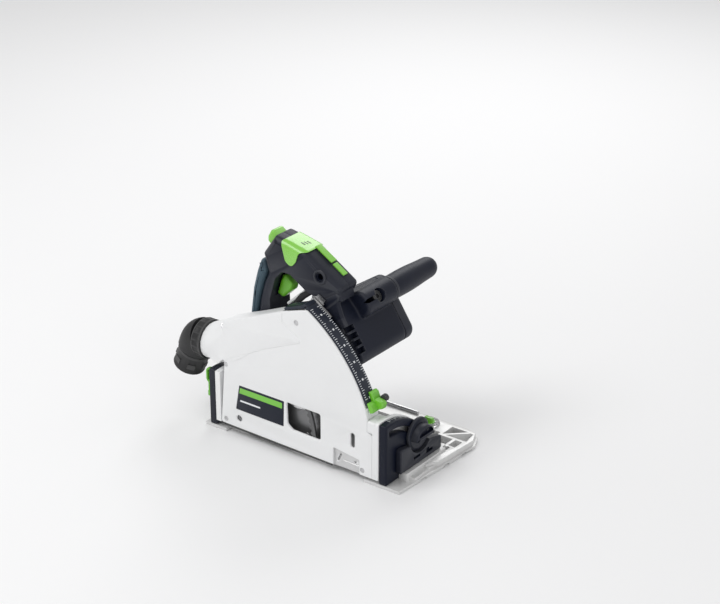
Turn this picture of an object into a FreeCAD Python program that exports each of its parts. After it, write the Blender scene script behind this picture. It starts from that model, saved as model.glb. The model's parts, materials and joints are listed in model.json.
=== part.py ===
import FreeCAD, Part
import math
import os
import Sketcher
from FreeCAD import Placement, Rotation, Vector

# Track plunge saw, in millimetres. +X is the cutting direction, +Z is up, and the blade
# cuts in the plane Y = 0. The origin is on the underside of the table, below the plunge
# axle and on the tilt axis. The motor side is +Y.
#
# The head is drawn in its own frame, "lowered": its origin is the plunge axle, its X axis
# points forward and is level when the saw is fully plunged. raise_head() turns each head
# piece up to the rest position.

DOC = FreeCAD.newDocument("track_plunge_saw")
SHEET = DOC.addObject("Spreadsheet::Sheet", "Sizes")

DRIVING_SIZES = {
    # plunge geometry
    "pivot_height": 25.0,
    "arm_length": 103.0,
    "raised_angle": 33.5,
    "axle_radius": 8.0,
    # blade and spindle
    "blade_radius": 80.0,
    "blade_thickness": 1.8,
    "bore_radius": 10.0,
    "tooth_count": 48.0,
    "flange_radius": 21.0,
    "spindle_radius": 7.0,
    # gear train
    "gear_module": 1.0,
    "motor_pinion_teeth": 11.0,
    "idler_wheel_teeth": 38.0,
    "idler_pinion_teeth": 21.0,
    "spindle_wheel_teeth": 35.0,
    "gear_line_angle": 46.5,
    # guard
    "guard_radius": 207.0,
    "guard_rear": -29.0,
    "guard_bottom": 12.0,
    "cover_face": -12.0,
    "cover_wall": 2.5,
    "wall_face": 12.0,
    "wall_thickness": 3.0,
    "port_height": 106.0,
    "port_side": 13.0,
    "port_radius": 23.0,
    "port_end": -61.0,
    # table
    "table_rear": -55.0,
    "table_front": 240.0,
    "table_side": 157.0,
    "table_near": -11.0,
    "table_floor": 4.0,
    "rib_height": 11.0,
    "segment_radius": 83.0,
    "segment_front_x": 211.0,
    "segment_rear_x": -37.0,
    "segment_thickness": 11.0,
    "clamp_radius": 70.0,
    "clamp_angle": 44.0,
    # motor
    "motor_front": 204.0,
    "motor_top": 84.0,
    "motor_near": 20.0,
    "motor_seam": 108.0,
    "motor_far": 127.0,
    "shell_wall": 3.0,
    # handle
    "handle_near": 17.0,
    "handle_middle": 36.0,
    "handle_far": 55.0,
    "aux_forward": 210.0,
    "aux_height": 64.0,
    "aux_radius": 15.5,
    "aux_root": 103.0,
    "aux_tip": 200.0,
    # running clearance of shafts, on the radius
    "running_gap": 0.05,
}


def words(value):
    """The sheet expression of a size, or the digits of a plain number."""
    return value.text if isinstance(value, Size) else repr(float(value))


class Size(float):
    """A number that remembers the sheet expression behind it."""

    def __new__(cls, value, text):
        size = super().__new__(cls, value)
        size.text = text
        return size

    def __add__(self, other):
        return Size(float(self) + float(other), f"({self.text} + {words(other)})")

    def __radd__(self, other):
        return Size(float(other) + float(self), f"({words(other)} + {self.text})")

    def __sub__(self, other):
        return Size(float(self) - float(other), f"({self.text} - {words(other)})")

    def __rsub__(self, other):
        return Size(float(other) - float(self), f"({words(other)} - {self.text})")

    def __mul__(self, other):
        return Size(float(self) * float(other), f"({self.text} * {words(other)})")

    def __rmul__(self, other):
        return Size(float(other) * float(self), f"({words(other)} * {self.text})")

    def __truediv__(self, other):
        return Size(float(self) / float(other), f"({self.text} / {words(other)})")

    def __neg__(self):
        return Size(-float(self), f"(-1 * {self.text})")


def fill_sheet():
    """Write every driving size to the sheet and return them by name."""
    sizes = {}
    for row, (name, value) in enumerate(DRIVING_SIZES.items(), 1):
        SHEET.set(f"A{row}", name)
        SHEET.set(f"B{row}", str(value))
        SHEET.setAlias(f"B{row}", name)
        sizes[name] = Size(value, f"Sizes.{name}")
    DOC.recompute()
    return sizes


S = fill_sheet()
NODES = {}


def cosd(angle):
    value = math.cos(math.radians(angle))
    return Size(value, f"cos({angle.text} * 1 deg)") if isinstance(angle, Size) else value


def sind(angle):
    value = math.sin(math.radians(angle))
    return Size(value, f"sin({angle.text} * 1 deg)") if isinstance(angle, Size) else value


# ---------------------------------------------------------------- building blocks

AXIS_TURNS = {
    "x": Rotation(Vector(0, 1, 0), 90),
    "y": Rotation(Vector(1, 0, 0), -90),
    "z": Rotation(),
}
PLANE_TURNS = {
    "xz": Rotation(Vector(1, 0, 0), 90),
    "yz": Rotation(Vector(1, 1, 1), 120),
    "xy": Rotation(),
}
PLANE_NORMALS = {"xz": Vector(0, 1, 0), "yz": Vector(1, 0, 0), "xy": Vector(0, 0, 1)}


def bind(thing, path, value):
    """Tie one property of an object to the sheet when its value comes from there."""
    if isinstance(value, Size):
        thing.setExpression(path, value.text)


def move(thing, base, turn=None):
    """Place an object, with its position tied to the sheet."""
    thing.Placement = Placement(Vector(*[float(v) for v in base]), turn or Rotation())
    for axis, value in zip("xyz", base):
        bind(thing, f"Placement.Base.{axis}", value)
    return thing


def box(corner, sides):
    """A block from its lowest corner and its three sides."""
    block = DOC.addObject("Part::Box", "block")
    for prop, value in zip(("Length", "Width", "Height"), sides):
        setattr(block, prop, float(value))
        bind(block, prop, value)
    return move(block, corner)


def span(x, y, z):
    """A block between two values on each axis."""
    return box((x[0], y[0], z[0]), (x[1] - x[0], y[1] - y[0], z[1] - z[0]))


def rod(axis, start, radius, length, angle=None, turn=0):
    """A round bar along an axis from its start point; a sector of one if angle is given."""
    bar = DOC.addObject("Part::Cylinder", "rod")
    bar.Radius = float(radius)
    bind(bar, "Radius", radius)
    bar.Height = float(length)
    bind(bar, "Height", length)
    if angle is not None:
        bar.Angle = float(angle)
        bind(bar, "Angle", angle)
    spin = AXIS_TURNS[axis].multiply(Rotation(Vector(0, 0, 1), float(turn)))
    return move(bar, start, spin)


def cone(axis, start, radius_start, radius_end, length):
    """A tapered bar along an axis."""
    bar = DOC.addObject("Part::Cone", "cone")
    for prop, value in (("Radius1", radius_start), ("Radius2", radius_end), ("Height", length)):
        setattr(bar, prop, float(value))
        bind(bar, prop, value)
    return move(bar, start, AXIS_TURNS[axis])


def ball(centre, radius):
    thing = DOC.addObject("Part::Sphere", "ball")
    thing.Radius = float(radius)
    bind(thing, "Radius", radius)
    return move(thing, centre)


def fuse(*parts):
    if len(parts) == 1:
        return parts[0]
    union = DOC.addObject("Part::MultiFuse", "union")
    union.Shapes = list(parts)
    return union


def cut(base, *tools):
    difference = DOC.addObject("Part::Cut", "difference")
    difference.Base = base
    difference.Tool = fuse(*tools)
    return difference


def common(first, second):
    both = DOC.addObject("Part::Common", "overlap")
    both.Base = first
    both.Tool = second
    return both


def group(*parts):
    """Several separate solids as one piece of the document."""
    bundle = DOC.addObject("Part::Compound", "bundle")
    bundle.Links = list(parts)
    return bundle


def pin_point(drawing, geometry, end, across, up):
    """Fix one point of a sketch by its two dimensions from the origin."""
    for kind, value, axis in (("DistanceX", across, -2), ("DistanceY", up, -1)):
        if value is None:
            continue
        if abs(float(value)) < 1e-9:
            drawing.addConstraint(Sketcher.Constraint("PointOnObject", geometry, end, axis))
            continue
        index = drawing.addConstraint(
            Sketcher.Constraint(kind, -1, 1, geometry, end, float(value)))
        bind(drawing, f"Constraints[{index}]", value)


def sketch(plane, points, at=0):
    """A closed outline of straight lines; every corner is pinned by two dimensions."""
    drawing = DOC.addObject("Sketcher::SketchObject", "outline")
    flat = [Vector(float(across), float(up), 0) for across, up in points]
    if plane == "xz":
        move(drawing, (0, at, 0), PLANE_TURNS[plane])
    elif plane == "yz":
        move(drawing, (at, 0, 0), PLANE_TURNS[plane])
    else:
        move(drawing, (0, 0, at), PLANE_TURNS[plane])
    count = len(points)
    lines = [drawing.addGeometry(Part.LineSegment(flat[i], flat[(i + 1) % count]))
             for i in range(count)]
    for i, line in enumerate(lines):
        following = lines[(i + 1) % count]
        drawing.addConstraint(Sketcher.Constraint("Coincident", line, 2, following, 1))
    for line, (across, up) in zip(lines, points):
        pin_point(drawing, line, 1, across, up)
    return drawing


def plate(plane, points, start, thickness):
    """An outline pushed straight out of its plane."""
    slab = DOC.addObject("Part::Extrusion", "plate")
    slab.Base = sketch(plane, points, start)
    slab.DirMode = "Custom"
    slab.Dir = PLANE_NORMALS[plane]
    slab.LengthFwd = float(thickness)
    bind(slab, "LengthFwd", thickness)
    slab.Solid = True
    return slab


def soften(thing, radius, chosen, kind="Part::Fillet"):
    """Round (or chamfer) the edges that the chosen() test picks."""
    DOC.recompute()
    edges = [(number, float(radius), float(radius))
             for number, edge in enumerate(thing.Shape.Edges, 1) if chosen(edge)]
    rounded = DOC.addObject(kind, "rounded")
    rounded.Base = thing
    rounded.Edges = edges
    return rounded


def along(direction, *spots, reach=0.6):
    """An edge test: straight edges along an axis that pass near one of the spots."""
    index = "xyz".index(direction)
    others = [i for i in range(3) if i != index]

    def chosen(edge):
        if edge.Curve.TypeId != "Part::GeomLine":
            return False
        start, end = edge.Vertexes[0].Point, edge.Vertexes[-1].Point
        if abs(abs((end - start)[index]) - edge.Length) > 1e-6:
            return False
        if not spots:
            return True
        return any(all(abs(start[i] - float(spot[k])) < reach for k, i in enumerate(others))
                   for spot in spots)

    return chosen


def ring_of_face(axis, place, reach=0.01):
    """An edge test: edges that lie in the plane where one coordinate has a value."""
    index = "xyz".index(axis)

    def chosen(edge):
        box_ = edge.BoundBox
        low = (box_.XMin, box_.YMin, box_.ZMin)[index]
        high = (box_.XMax, box_.YMax, box_.ZMax)[index]
        return abs(low - float(place)) < reach and abs(high - float(place)) < reach

    return chosen


def raise_head(thing):
    """Turn a piece drawn in the lowered head frame up to the rest position."""
    thing.Placement = Placement(Vector(0, 0, float(S["pivot_height"])),
                                Rotation(Vector(0, -1, 0), float(S["raised_angle"])))
    bind(thing, "Placement.Base.z", S["pivot_height"])
    bind(thing, "Placement.Rotation.Angle", S["raised_angle"])
    return thing


def node(label, thing, frame="saw"):
    """Name a finished piece; pieces of the head are turned up to rest."""
    if thing.TypeId not in ("Part::Cut", "Part::MultiFuse", "Part::Compound", "Part::Common",
                            "PartDesign::Body", "Part::Feature"):
        thing = group(thing)
    thing.Label = label
    if frame == "head":
        raise_head(thing)
    NODES[label] = thing
    return thing


def body_plane(body, role):
    return next(f for f in body.Origin.OriginFeatures if f.Role == role)


def turned(profile, centre, axis):
    """A PartDesign body turned from a closed (radius, height) profile, laid along an axis."""
    body = DOC.addObject("PartDesign::Body", "turned")
    drawing = body.newObject("Sketcher::SketchObject", "section")
    drawing.AttachmentSupport = (body_plane(body, "XZ_Plane"), [""])
    drawing.MapMode = "FlatFace"
    count = len(profile)
    flat = [Vector(float(r), float(z), 0) for r, z in profile]
    lines = [drawing.addGeometry(Part.LineSegment(flat[i], flat[(i + 1) % count]))
             for i in range(count)]
    for i, line in enumerate(lines):
        drawing.addConstraint(
            Sketcher.Constraint("Coincident", line, 2, lines[(i + 1) % count], 1))
    for line, (radius, height) in zip(lines, profile):
        pin_point(drawing, line, 1, radius, height)
    spin = body.newObject("PartDesign::Revolution", "spin")
    spin.Profile = drawing
    spin.ReferenceAxis = (drawing, ["V_Axis"])
    spin.Angle = 360
    body.Tip = spin
    return move(body, centre, AXIS_TURNS[axis])


def screw(centre, axis, head_radius, head_height, shank_radius, shank_length, hex_size=0):
    """A screw from the seat of its head; negative lengths point the other way."""
    sign = 1 if shank_length > 0 else -1
    if sign > 0:
        head_start, shank_start = -head_height, 0
    else:
        head_start, shank_start = 0, shank_length

    def shifted(amount):
        return tuple(c + amount if a == axis else c for a, c in zip("xyz", centre))

    head = rod(axis, shifted(head_start), head_radius, head_height)
    shank = rod(axis, shifted(shank_start), shank_radius, abs(shank_length) + 0.0)
    solid = fuse(head, shank)
    if hex_size:
        depth = head_height * 0.6
        socket_start = head_start - 0.01 if sign > 0 else head_height - depth
        socket = DOC.addObject("Part::Prism", "socket")
        socket.Polygon = 6
        socket.Circumradius = float(hex_size)
        socket.Height = float(depth)
        move(socket, shifted(socket_start), AXIS_TURNS[axis])
        solid = cut(solid, socket)
    return solid


def arc_slot(axis, centre, radius, half_width, start, thickness, first, last):
    """A curved slot with round ends, about a centre in the plane across an axis.

    Angles are in degrees from the first in-plane axis towards the second one.
    """
    if axis == "y":
        at = (centre[0], start, centre[1])
        turn = -last
    else:
        at = (start, centre[0], centre[1])
        turn = first + 90
    sweep = last - first
    outer = rod(axis, at, radius + half_width, thickness, sweep, turn)
    inner = rod(axis, at, radius - half_width, thickness)
    band = cut(outer, inner)
    ends = []
    for angle in (first, last):
        across = centre[0] + radius * cosd(angle)
        up = centre[1] + radius * sind(angle)
        place = (across, start, up) if axis == "y" else (start, across, up)
        ends.append(rod(axis, place, half_width, thickness))
    return fuse(band, *ends)


# ---------------------------------------------------------------- places worked out once

PIVOT = (0.0, S["pivot_height"])
SPINDLE = (S["arm_length"], 0.0)
LINE_U = cosd(S["gear_line_angle"])
LINE_W = sind(S["gear_line_angle"])
IDLER_REACH = (S["spindle_wheel_teeth"] + S["idler_pinion_teeth"]) * S["gear_module"] / 2
MOTOR_REACH = IDLER_REACH + (S["idler_wheel_teeth"]
                             + S["motor_pinion_teeth"]) * S["gear_module"] / 2
IDLER = (S["arm_length"] + IDLER_REACH * LINE_U, IDLER_REACH * LINE_W)
MOTOR = (S["arm_length"] + MOTOR_REACH * LINE_U, MOTOR_REACH * LINE_W)
CLAMP_SIDE = S["clamp_radius"] * sind(S["clamp_angle"])
CLAMP_UP = S["clamp_radius"] * cosd(S["clamp_angle"])


def at(spot, side):
    """A point from an (X, Z) spot and a Y value."""
    return (spot[0], side, spot[1])


# ---------------------------------------------------------------- table

def base_plate():
    rear, front, near = S["table_rear"], S["table_front"], S["table_near"]
    far, floor, top = S["table_side"], S["table_floor"], S["rib_height"]
    outline = [(rear, near), (-22, near), (-22, -1.5), (8, -1.5), (8, 2.5), (190, 2.5),
               (190, near), (front, near),
               (front + 6, 64), (front + 10, far - 22), (front + 2, far - 3),
               (front - 14, far), (rear + 10, far), (rear, far - 10)]
    sheet_floor = plate("xy", outline, 0, floor)
    deck = plate("xy", [(rear + 2, 50), (rear + 2, far - 11), (rear + 11, far - 2),
                        (front - 15, far - 2), (front, far - 5), (front + 8, far - 24),
                        (front + 3, 66), (front - 4, 50)], floor, top - floor)
    pedestal = span((222.4, front - 6), (14, 102), (0, 14))
    step = span((front - 16, front + 1), (20, 92), (0, 8))
    seat_rear = span((rear, -48.5), (14, 102), (0, 14))
    solid = fuse(sheet_floor, deck, pedestal, step, seat_rear)
    carrier_room = [span((193.4, 222.2), (45, 104), (floor, 20)),
                    span((-48.2, -28), (45, 104), (floor, 20))]
    jaw_bores = [rod("z", (x, 138, floor + 0.1), 4.5, 20) for x in (FRONT_JAW_X, REAR_JAW_X)]
    pockets = []
    for low, high in GLIDE_RUNS:
        pockets.append(span((rear + 5.8, 68.2), (low - 0.2, high + 0.2), (-1, GLIDE_DEPTH)))
        pockets.append(span((139.8, front - 3.8), (low - 0.2, high + 0.2), (-1, GLIDE_DEPTH)))
    bays_x = [(-47, -6), (-2, 44), (48, 98), (102, 152), (156, 204)]
    bays_y = [(54, 98), (102, 128), (132, 144)]
    for left, right in bays_x:
        for low, high in bays_y:
            if high > 130 and (right > 150 or left < -40):
                continue
            pockets.append(span((left, right), (low, high), (floor, top + 1)))
    pockets.append(span((208, 226), (106, 122), (-1, top + 1)))
    pockets.append(span((230, 240), (106, 122), (floor, top + 1)))
    pockets.append(plate("xy", [(208, 126), (208, 148), (232, 148)], -1, top + 3))
    pockets.append(plate("xy", [(213, 126), (243, 126), (240, 146), (236, 147)], floor, top))
    gear_window = span((72, 136), (2.4, 44), (-1, top + 1))
    rail_groove = span((rear - 1, front + 12), (112, 129), (-1, 1.6))
    notches = [span((front + 2, front + 14), (y, y + 10), (-1, 3)) for y in (30, 74, 108)]
    oval = [rod("z", (232, y, -1), 3, top + 20) for y in (97, 101)]
    node("base_plate", cut(solid, gear_window, rail_groove, *pockets, *notches, *oval,
                           *carrier_room, *jaw_bores))


def glide_strips():
    rear, front = S["table_rear"], S["table_front"]
    strips = []
    for low, high in GLIDE_RUNS:
        strips.append(span((rear + 6, 68), (low, high), (0, GLIDE_DEPTH - 0.05)))
        strips.append(span((140, front - 4), (low, high), (0, GLIDE_DEPTH - 0.05)))
    node("glide_strips", group(*strips))


GLIDE_RUNS = [(8, 16), (52, 60), (136, 144)]
GLIDE_DEPTH = 0.8


def segment(label, rear_x, radius):
    """Upright tilt quadrant: its rim is an arc about the tilt axis."""
    depth = S["segment_thickness"]
    near, floor = S["table_near"], S["table_floor"]
    disc = rod("x", (rear_x, 0, 0), radius, depth)
    window = span((rear_x - 1, rear_x + depth + 1), (near, 100), (floor, 100))
    body = common(disc, window)
    slot = arc_slot("x", (0, 0), radius - 13, 3.4, rear_x - 1, depth + 2,
                    90 - S["clamp_angle"] - 1, 90 + 3.5)
    node(label, cut(body, slot))


def front_block():
    """Bearing block in front of the quadrant, scooped out for the clamp knob."""
    face = 222.3
    outline = [(15, 14.2), (92, 14.2), (92, 31), (70, 40), (70, 60), (15, 60)]
    body = plate("yz", outline, face, 7.5)
    sweep = rod("x", (face - 1, 0, 0), 48.2, 10)
    knob_room = rod("x", (face - 1, CLAMP_SIDE + 0.4, CLAMP_UP - 0.4), 22.9, 10)
    above = span((face - 1, face + 10), (10, CLAMP_SIDE + 22.9), (0, 100))
    beside = span((face - 2, face + 11), (CLAMP_SIDE - 8, 80), (0, CLAMP_UP))
    scoop = cut(above, sweep, beside)
    slot = span((face + 3, face + 9), (34, 48), (24, 27))
    steps = span((face + 4, face + 9), (62, 76), (14, 22))
    node("front_block", cut(body, scoop, knob_room, slot, steps))


def rear_block():
    face = S["segment_rear_x"] - S["segment_thickness"] - 0.3
    outline = [(18, 14.2), (92, 14.2), (92, 28), (18, 28)]
    body = plate("yz", outline, face - 8, 8)
    node("rear_block", body)


def rail_jaw(label, x):
    """Eccentric that takes up play on the guide rail, turned by its green key."""
    top, floor = S["rib_height"], S["table_floor"]
    post = rod("z", (x, 138, top + 0.2), 7.5, 3.3)
    key = span((x - 5.5, x + 5.5), (135.5, 140.5), (top + 3.5, top + 9))
    stem = rod("z", (x, 138, floor + 0.2), 4.4, top - floor)
    node(label, fuse(post, key, stem))


def rail_rod():
    node("rail_rod", rod("x", (-40, 149.5, S["rib_height"] + 2.2), 2.2, 196))


FRONT_JAW_X = 180.0
REAR_JAW_X = -30.0


# ---------------------------------------------------------------- tilting guard

def guard_profile(start, thickness, radius, points, low_limit):
    """The side outline of the guard: straight edges and the depth arc about the axle."""
    slab = plate("xz", points, start, thickness)
    disc = rod("y", at(PIVOT, start), radius, thickness)
    lower = span((-80, 215), (start, start + thickness), (-10, low_limit))
    return common(slab, fuse(disc, lower))


def guard_points(inset, rear, front, low_rear, low_front):
    """Corners of the guard seen from the side; the arc trims the top front."""
    return [(rear + inset, low_rear), (front - inset, low_front), (front - inset, 215),
            (128, 215), (100 + inset * 0.4, 197 - inset), (71, 188 - inset),
            (rear + 7 + inset, 149 - inset), (rear + 7 + inset, 88)]


def guard_housing():
    """Cast housing on the motor side: back wall and rim, open below and to the cover."""
    face, wall = S["wall_face"], S["wall_thickness"]
    rear, low = S["guard_rear"], S["guard_bottom"]
    inner_face = S["cover_face"] + S["cover_wall"] + 0.1
    radius = S["guard_radius"] - 4
    depth = face - inner_face
    outer = guard_profile(inner_face, depth, radius,
                          guard_points(0, rear + 1, 193.5, low, 11), 97)
    hollow = guard_profile(inner_face - 1, depth - wall + 1, radius - 3,
                           guard_points(3, rear + 1, 193.5, -5, -5), 94)
    slot = arc_slot("y", PIVOT, S["arm_length"], 18.5, face - wall - 1, wall + 2,
                    -1.5, S["raised_angle"] + 1)
    port_hole = rod("x", at_port(-40), S["port_radius"] - 3, 60)
    port_room = common(port_hole, span((-60, 40), (inner_face - 2, face - wall), (60, 160)))
    axle_hole = rod("y", at(PIVOT, -30), S["axle_radius"], 60)
    boss = rod("y", at(PIVOT, face), 13, 1.6)
    posts = [rod("y", (x, inner_face, z), 3.6, depth - 1) for x, z in COVER_SCREWS]
    pilot = [rod("y", (x, inner_face - 1, z), 1.6, 9) for x, z in COVER_SCREWS]
    solid = fuse(cut(outer, hollow), boss, view_frame(), *posts)
    node("guard_housing", cut(solid, slot, port_room, axle_hole, *pilot))


def at_port(x):
    return (x, S["port_side"], S["port_height"])


COVER_SCREWS = [(-19.0, 94.0), (-20.6, 19.0), (92.0, 180.0), (188.0, 15.5)]


def guard_cover():
    """Outer plastic cover, with the service window, the view notch and the slots."""
    face, wall = S["cover_face"], S["cover_wall"]
    rear, low = S["guard_rear"], S["guard_bottom"]
    points = [(rear, low), (202, 8), (202, 64.5), (195, 68), (195, 84), (206, 95),
              (206, 215), (128, 215), (100, 198), (71, 189), (rear + 7, 150), (rear + 7, 88)]
    panel = guard_profile(face, wall, S["guard_radius"] - 2, points, 96)
    window = plate("xz", [(84, 36), (126, 35), (126, 66), (122, 70.5), (75, 70.5), (76, 42)],
                   face - 1, wall + 2)
    notch = plate("xz", [(145, 0), (184, 0), (184, 27), (145, 33)], face - 1, wall + 2)
    hole = rod("y", (PIVOT[0], face - 1, PIVOT[1]), 5.5, wall + 2)
    slot = fuse(rod("y", (173.5, face - 1, 44), 3, wall + 2),
                rod("y", (173.5, face - 1, 57), 3, wall + 2),
                span((170.5, 176.5), (face - 1, face + wall + 1), (44, 57)))
    label_room = plate("xz", label_points(-0.1), face - 0.01, 0.61)
    seats = [rod("y", (x, face - 0.01, z), 3.2, 1.2) for x, z in COVER_SCREWS]
    bores = [rod("y", (x, face - 1, z), 1.7, wall + 2) for x, z in COVER_SCREWS]
    node("guard_cover", cut(panel, window, notch, hole, slot, label_room, *seats, *bores))


def label_points(inset):
    return [(-4.6 + inset, 37.1 + inset), (70.3 - inset, 36.2 + inset),
            (71.6 - inset, 70.8 - inset), (1.7 + inset, 71.3 - inset)]


def label_plate():
    node("label_plate", plate("xz", label_points(0), S["cover_face"], 0.5))


def cover_screws():
    face = S["cover_face"] + 0.2
    screws = []
    for x, z in COVER_SCREWS:
        head = rod("y", (x, face, z), 3.0, 0.9)
        shank = rod("y", (x, face + 0.9, z), 1.5, 8)
        recess = box((x - 1.6, face - 0.1, z - 0.3), (3.2, 0.5, 0.6))
        screws.append(cut(fuse(head, shank), recess))
    node("cover_screws", group(*screws))


def lower_seal():
    """Black rubber lip under the cover."""
    strip = plate("xz", [(-24, 9.2), (143, 6.6), (143, 8.9), (-24, 11.7)], -11.2, 1.6)
    node("lower_seal", strip)


def view_frame():
    """Guide of the housing that shows behind the view notch."""
    near = S["cover_face"] + S["cover_wall"] + 0.1
    frame = plate("xz", [(143, 12), (192, 12), (192, 30), (143, 36)], near, 1.4)
    return cut(frame, plate("xz", [(150, 16), (178, 16), (178, 25), (150, 28)], near - 1, 4))


def depth_scale():
    """Curved scale strip on the rim of the guard."""
    outer, inner = S["guard_radius"], S["guard_radius"] - 3.8
    near = S["cover_face"] + S["cover_wall"] + 0.2
    width = S["wall_face"] - 2.5 - near
    sweep = 38.4
    band = cut(rod("y", at(PIVOT, near), outer, width, sweep, -60),
               rod("y", at(PIVOT, near - 1), inner, width + 2))
    node("depth_scale", fuse(band, top_cap(near, width)))


def top_cap(near, width):
    """Dark rail that carries the scale over the top of the guard."""
    return plate("xz", [(72.5, 189.4), (100, 199.0), (107, 201.4), (107, 203.6),
                        (103, 204.6), (97.5, 201.6), (71.5, 192.4)], near, width)


def front_bracket():
    """White carrier that joins the guard to the front quadrant."""
    near = S["cover_face"] + S["cover_wall"] + 0.2
    back, step, front = 194.0, 205.0, S["segment_front_x"] - 0.3
    block = common(rod("x", (back, 0, 0), 84, step - back),
                   span((back, step), (near, 13), (11, 90)))
    carrier = common(rod("x", (step, 0, 0), 84, front - step),
                     span((step, front), (near, 62), (11, 90)))
    lower_skin = span((202.2, front), (S["cover_face"], near), (8, 64))
    upper_skin = span((195.2, front), (S["cover_face"], near), (68.3, 83))
    hollow = span((back + 3, step - 2), (near + 4, 9), (16, 66))
    bolt = rod("x", (back - 1, CLAMP_SIDE, CLAMP_UP), 3, 30)
    node("front_bracket", cut(fuse(block, carrier, lower_skin, upper_skin), hollow, bolt))


def rear_bracket():
    """White carrier at the rear quadrant."""
    near = S["cover_face"]
    back, front = S["segment_rear_x"] + 0.3, S["guard_rear"] - 0.2
    radius = S["segment_radius"] - 3
    block = common(rod("x", (back, 0, 0), radius, front - back),
                   span((back, front), (near, 62), (12, 90)))
    side, up = (radius - 13) * sind(S["clamp_angle"]), (radius - 13) * cosd(S["clamp_angle"])
    bolt = rod("x", (back - 1, side, up), 3, 30)
    node("rear_bracket", cut(block, bolt))


def pivot_axle():
    """Plunge axle, fixed in the guard housing."""
    near = S["cover_face"] + S["cover_wall"] + 1.0
    length = 46 - near
    radius = S["axle_radius"] - 0.02
    profile = [(0, 4), (3, 4), (3, 0), (radius, 0), (radius, length - 1.8),
               (radius + 3, length - 1.8), (radius + 3, length), (0, length)]
    node("pivot_axle", turned(profile, at(PIVOT, near), "y"))


def return_spring():
    """Torsion spring round the axle that lifts the head."""
    wire, coil, pitch, turns = 1.1, 10.6, 2.5, 2.6
    helix = Part.makeHelix(pitch, pitch * turns, coil)
    profile = Part.Wire(Part.makeCircle(wire, Vector(coil, 0, 0), Vector(0, 1, 0)).Edges)
    coil_solid = Part.Wire(helix.Edges).makePipeShell([profile], True, True)
    spring = DOC.addObject("Part::Feature", "spring")
    spring.Shape = coil_solid
    spring.Placement = Placement(Vector(0, 35.2, float(S["pivot_height"])), AXIS_TURNS["y"])
    node("return_spring", spring)


def lock_quadrant():
    """Toothed rack inside the cover that holds the head at the blade-change height."""
    outer, inner = 117.5, 110.6
    band = cut(rod("y", at(PIVOT, -9.2), outer, 3, 30, -32),
               rod("y", at(PIVOT, -10), inner, 5))
    notches = []
    for step in range(7):
        angle = 5 + 4 * step
        spot = (inner * cosd(angle), PIVOT[1] + inner * sind(angle))
        notches.append(rod("y", at(spot, -10), 2.2, 5))
    node("lock_quadrant", cut(band, *notches))


# ---------------------------------------------------------------- dust extraction

def dust_port():
    """Round outlet behind the guard, blended into the motor side of the housing."""
    end, radius = S["port_end"], S["port_radius"]
    join = S["guard_rear"] + 4.8
    tube = rod("x", at_port(end), radius, join - end)
    bulge = common(rod("x", at_port(join), radius, 12),
                   span((join - 1, join + 20), (S["wall_face"] + 0.1, 60), (0, 200)))
    bore = rod("x", at_port(end - 1), radius - 3, join - end + 20)
    lip = cut(rod("x", at_port(end + 2), radius + 1, 3), rod("x", at_port(end), radius - 1, 9))
    node("dust_port", cut(fuse(tube, bulge, lip), bore))


def dust_elbow():
    """Rubber elbow that turns on the port."""
    end, inner = S["port_end"], S["port_radius"] - 3.1
    sleeve = rod("x", at_port(end - BEND_REACH), 25.5, BEND_REACH - 0.4)
    spigot = rod("x", at_port(end - 8), inner, 18)
    middle = along_fall(0)
    fall = Rotation(Vector(0, 1, 0), 180 + NOZZLE_LEAN)
    bend_out, bend_in = ball(middle, 25), ball(middle, 18.5)
    leg_out = move(rod("z", middle, 22, NOZZLE_START), middle, fall)
    leg_in = move(rod("z", middle, 17, 40), middle, fall)
    keep = span((end - 80, end - 0.4), (-40, 60), (0, 160))
    shell = common(fuse(sleeve, bend_out, leg_out), keep)
    bore = rod("x", at_port(end - BEND_REACH - 1), 16.8, 66)
    swivel = along_fall(NOZZLE_START - 0.3)
    below = move(rod("z", swivel, 60, 40), swivel, fall)
    node("dust_elbow", cut(fuse(shell, spigot), bend_in, leg_in, bore, below))


BEND_REACH = 21.0
NOZZLE_LEAN = 24.0
NOZZLE_START = 18.0
NOZZLE_LENGTH = 29.0


def along_fall(reach):
    """A spot on the axis of the nozzle, by its distance from the middle of the elbow."""
    lean = math.radians(NOZZLE_LEAN)
    return (S["port_end"] - BEND_REACH - reach * math.sin(lean), S["port_side"],
            S["port_height"] - 2 - reach * math.cos(lean))


def dust_nozzle():
    """Hose connector that swivels on the end of the elbow."""
    base = along_fall(NOZZLE_START)
    fall = Rotation(Vector(0, 1, 0), 180 + NOZZLE_LEAN)
    outer = move(rod("z", base, 20.5, NOZZLE_LENGTH), base, fall)
    inner = move(rod("z", base, 17.5, 50), base, fall)
    node("dust_nozzle", cut(outer, inner))


# ---------------------------------------------------------------- blade and gear train

def ring_points(radius, angles):
    return [Vector(radius * math.cos(a), radius * math.sin(a), 0) for a in angles]


def involute_flank(base, tip, root, samples=4):
    """Radius and polar angle along one flank of a tooth, from root to tip."""
    start = max(base, root)
    flank = []
    for i in range(samples):
        radius = start + (tip - start) * i / (samples - 1)
        roll = math.sqrt(max((radius / base) ** 2 - 1, 0))
        flank.append((radius, roll - math.atan(roll)))
    return flank


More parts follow.
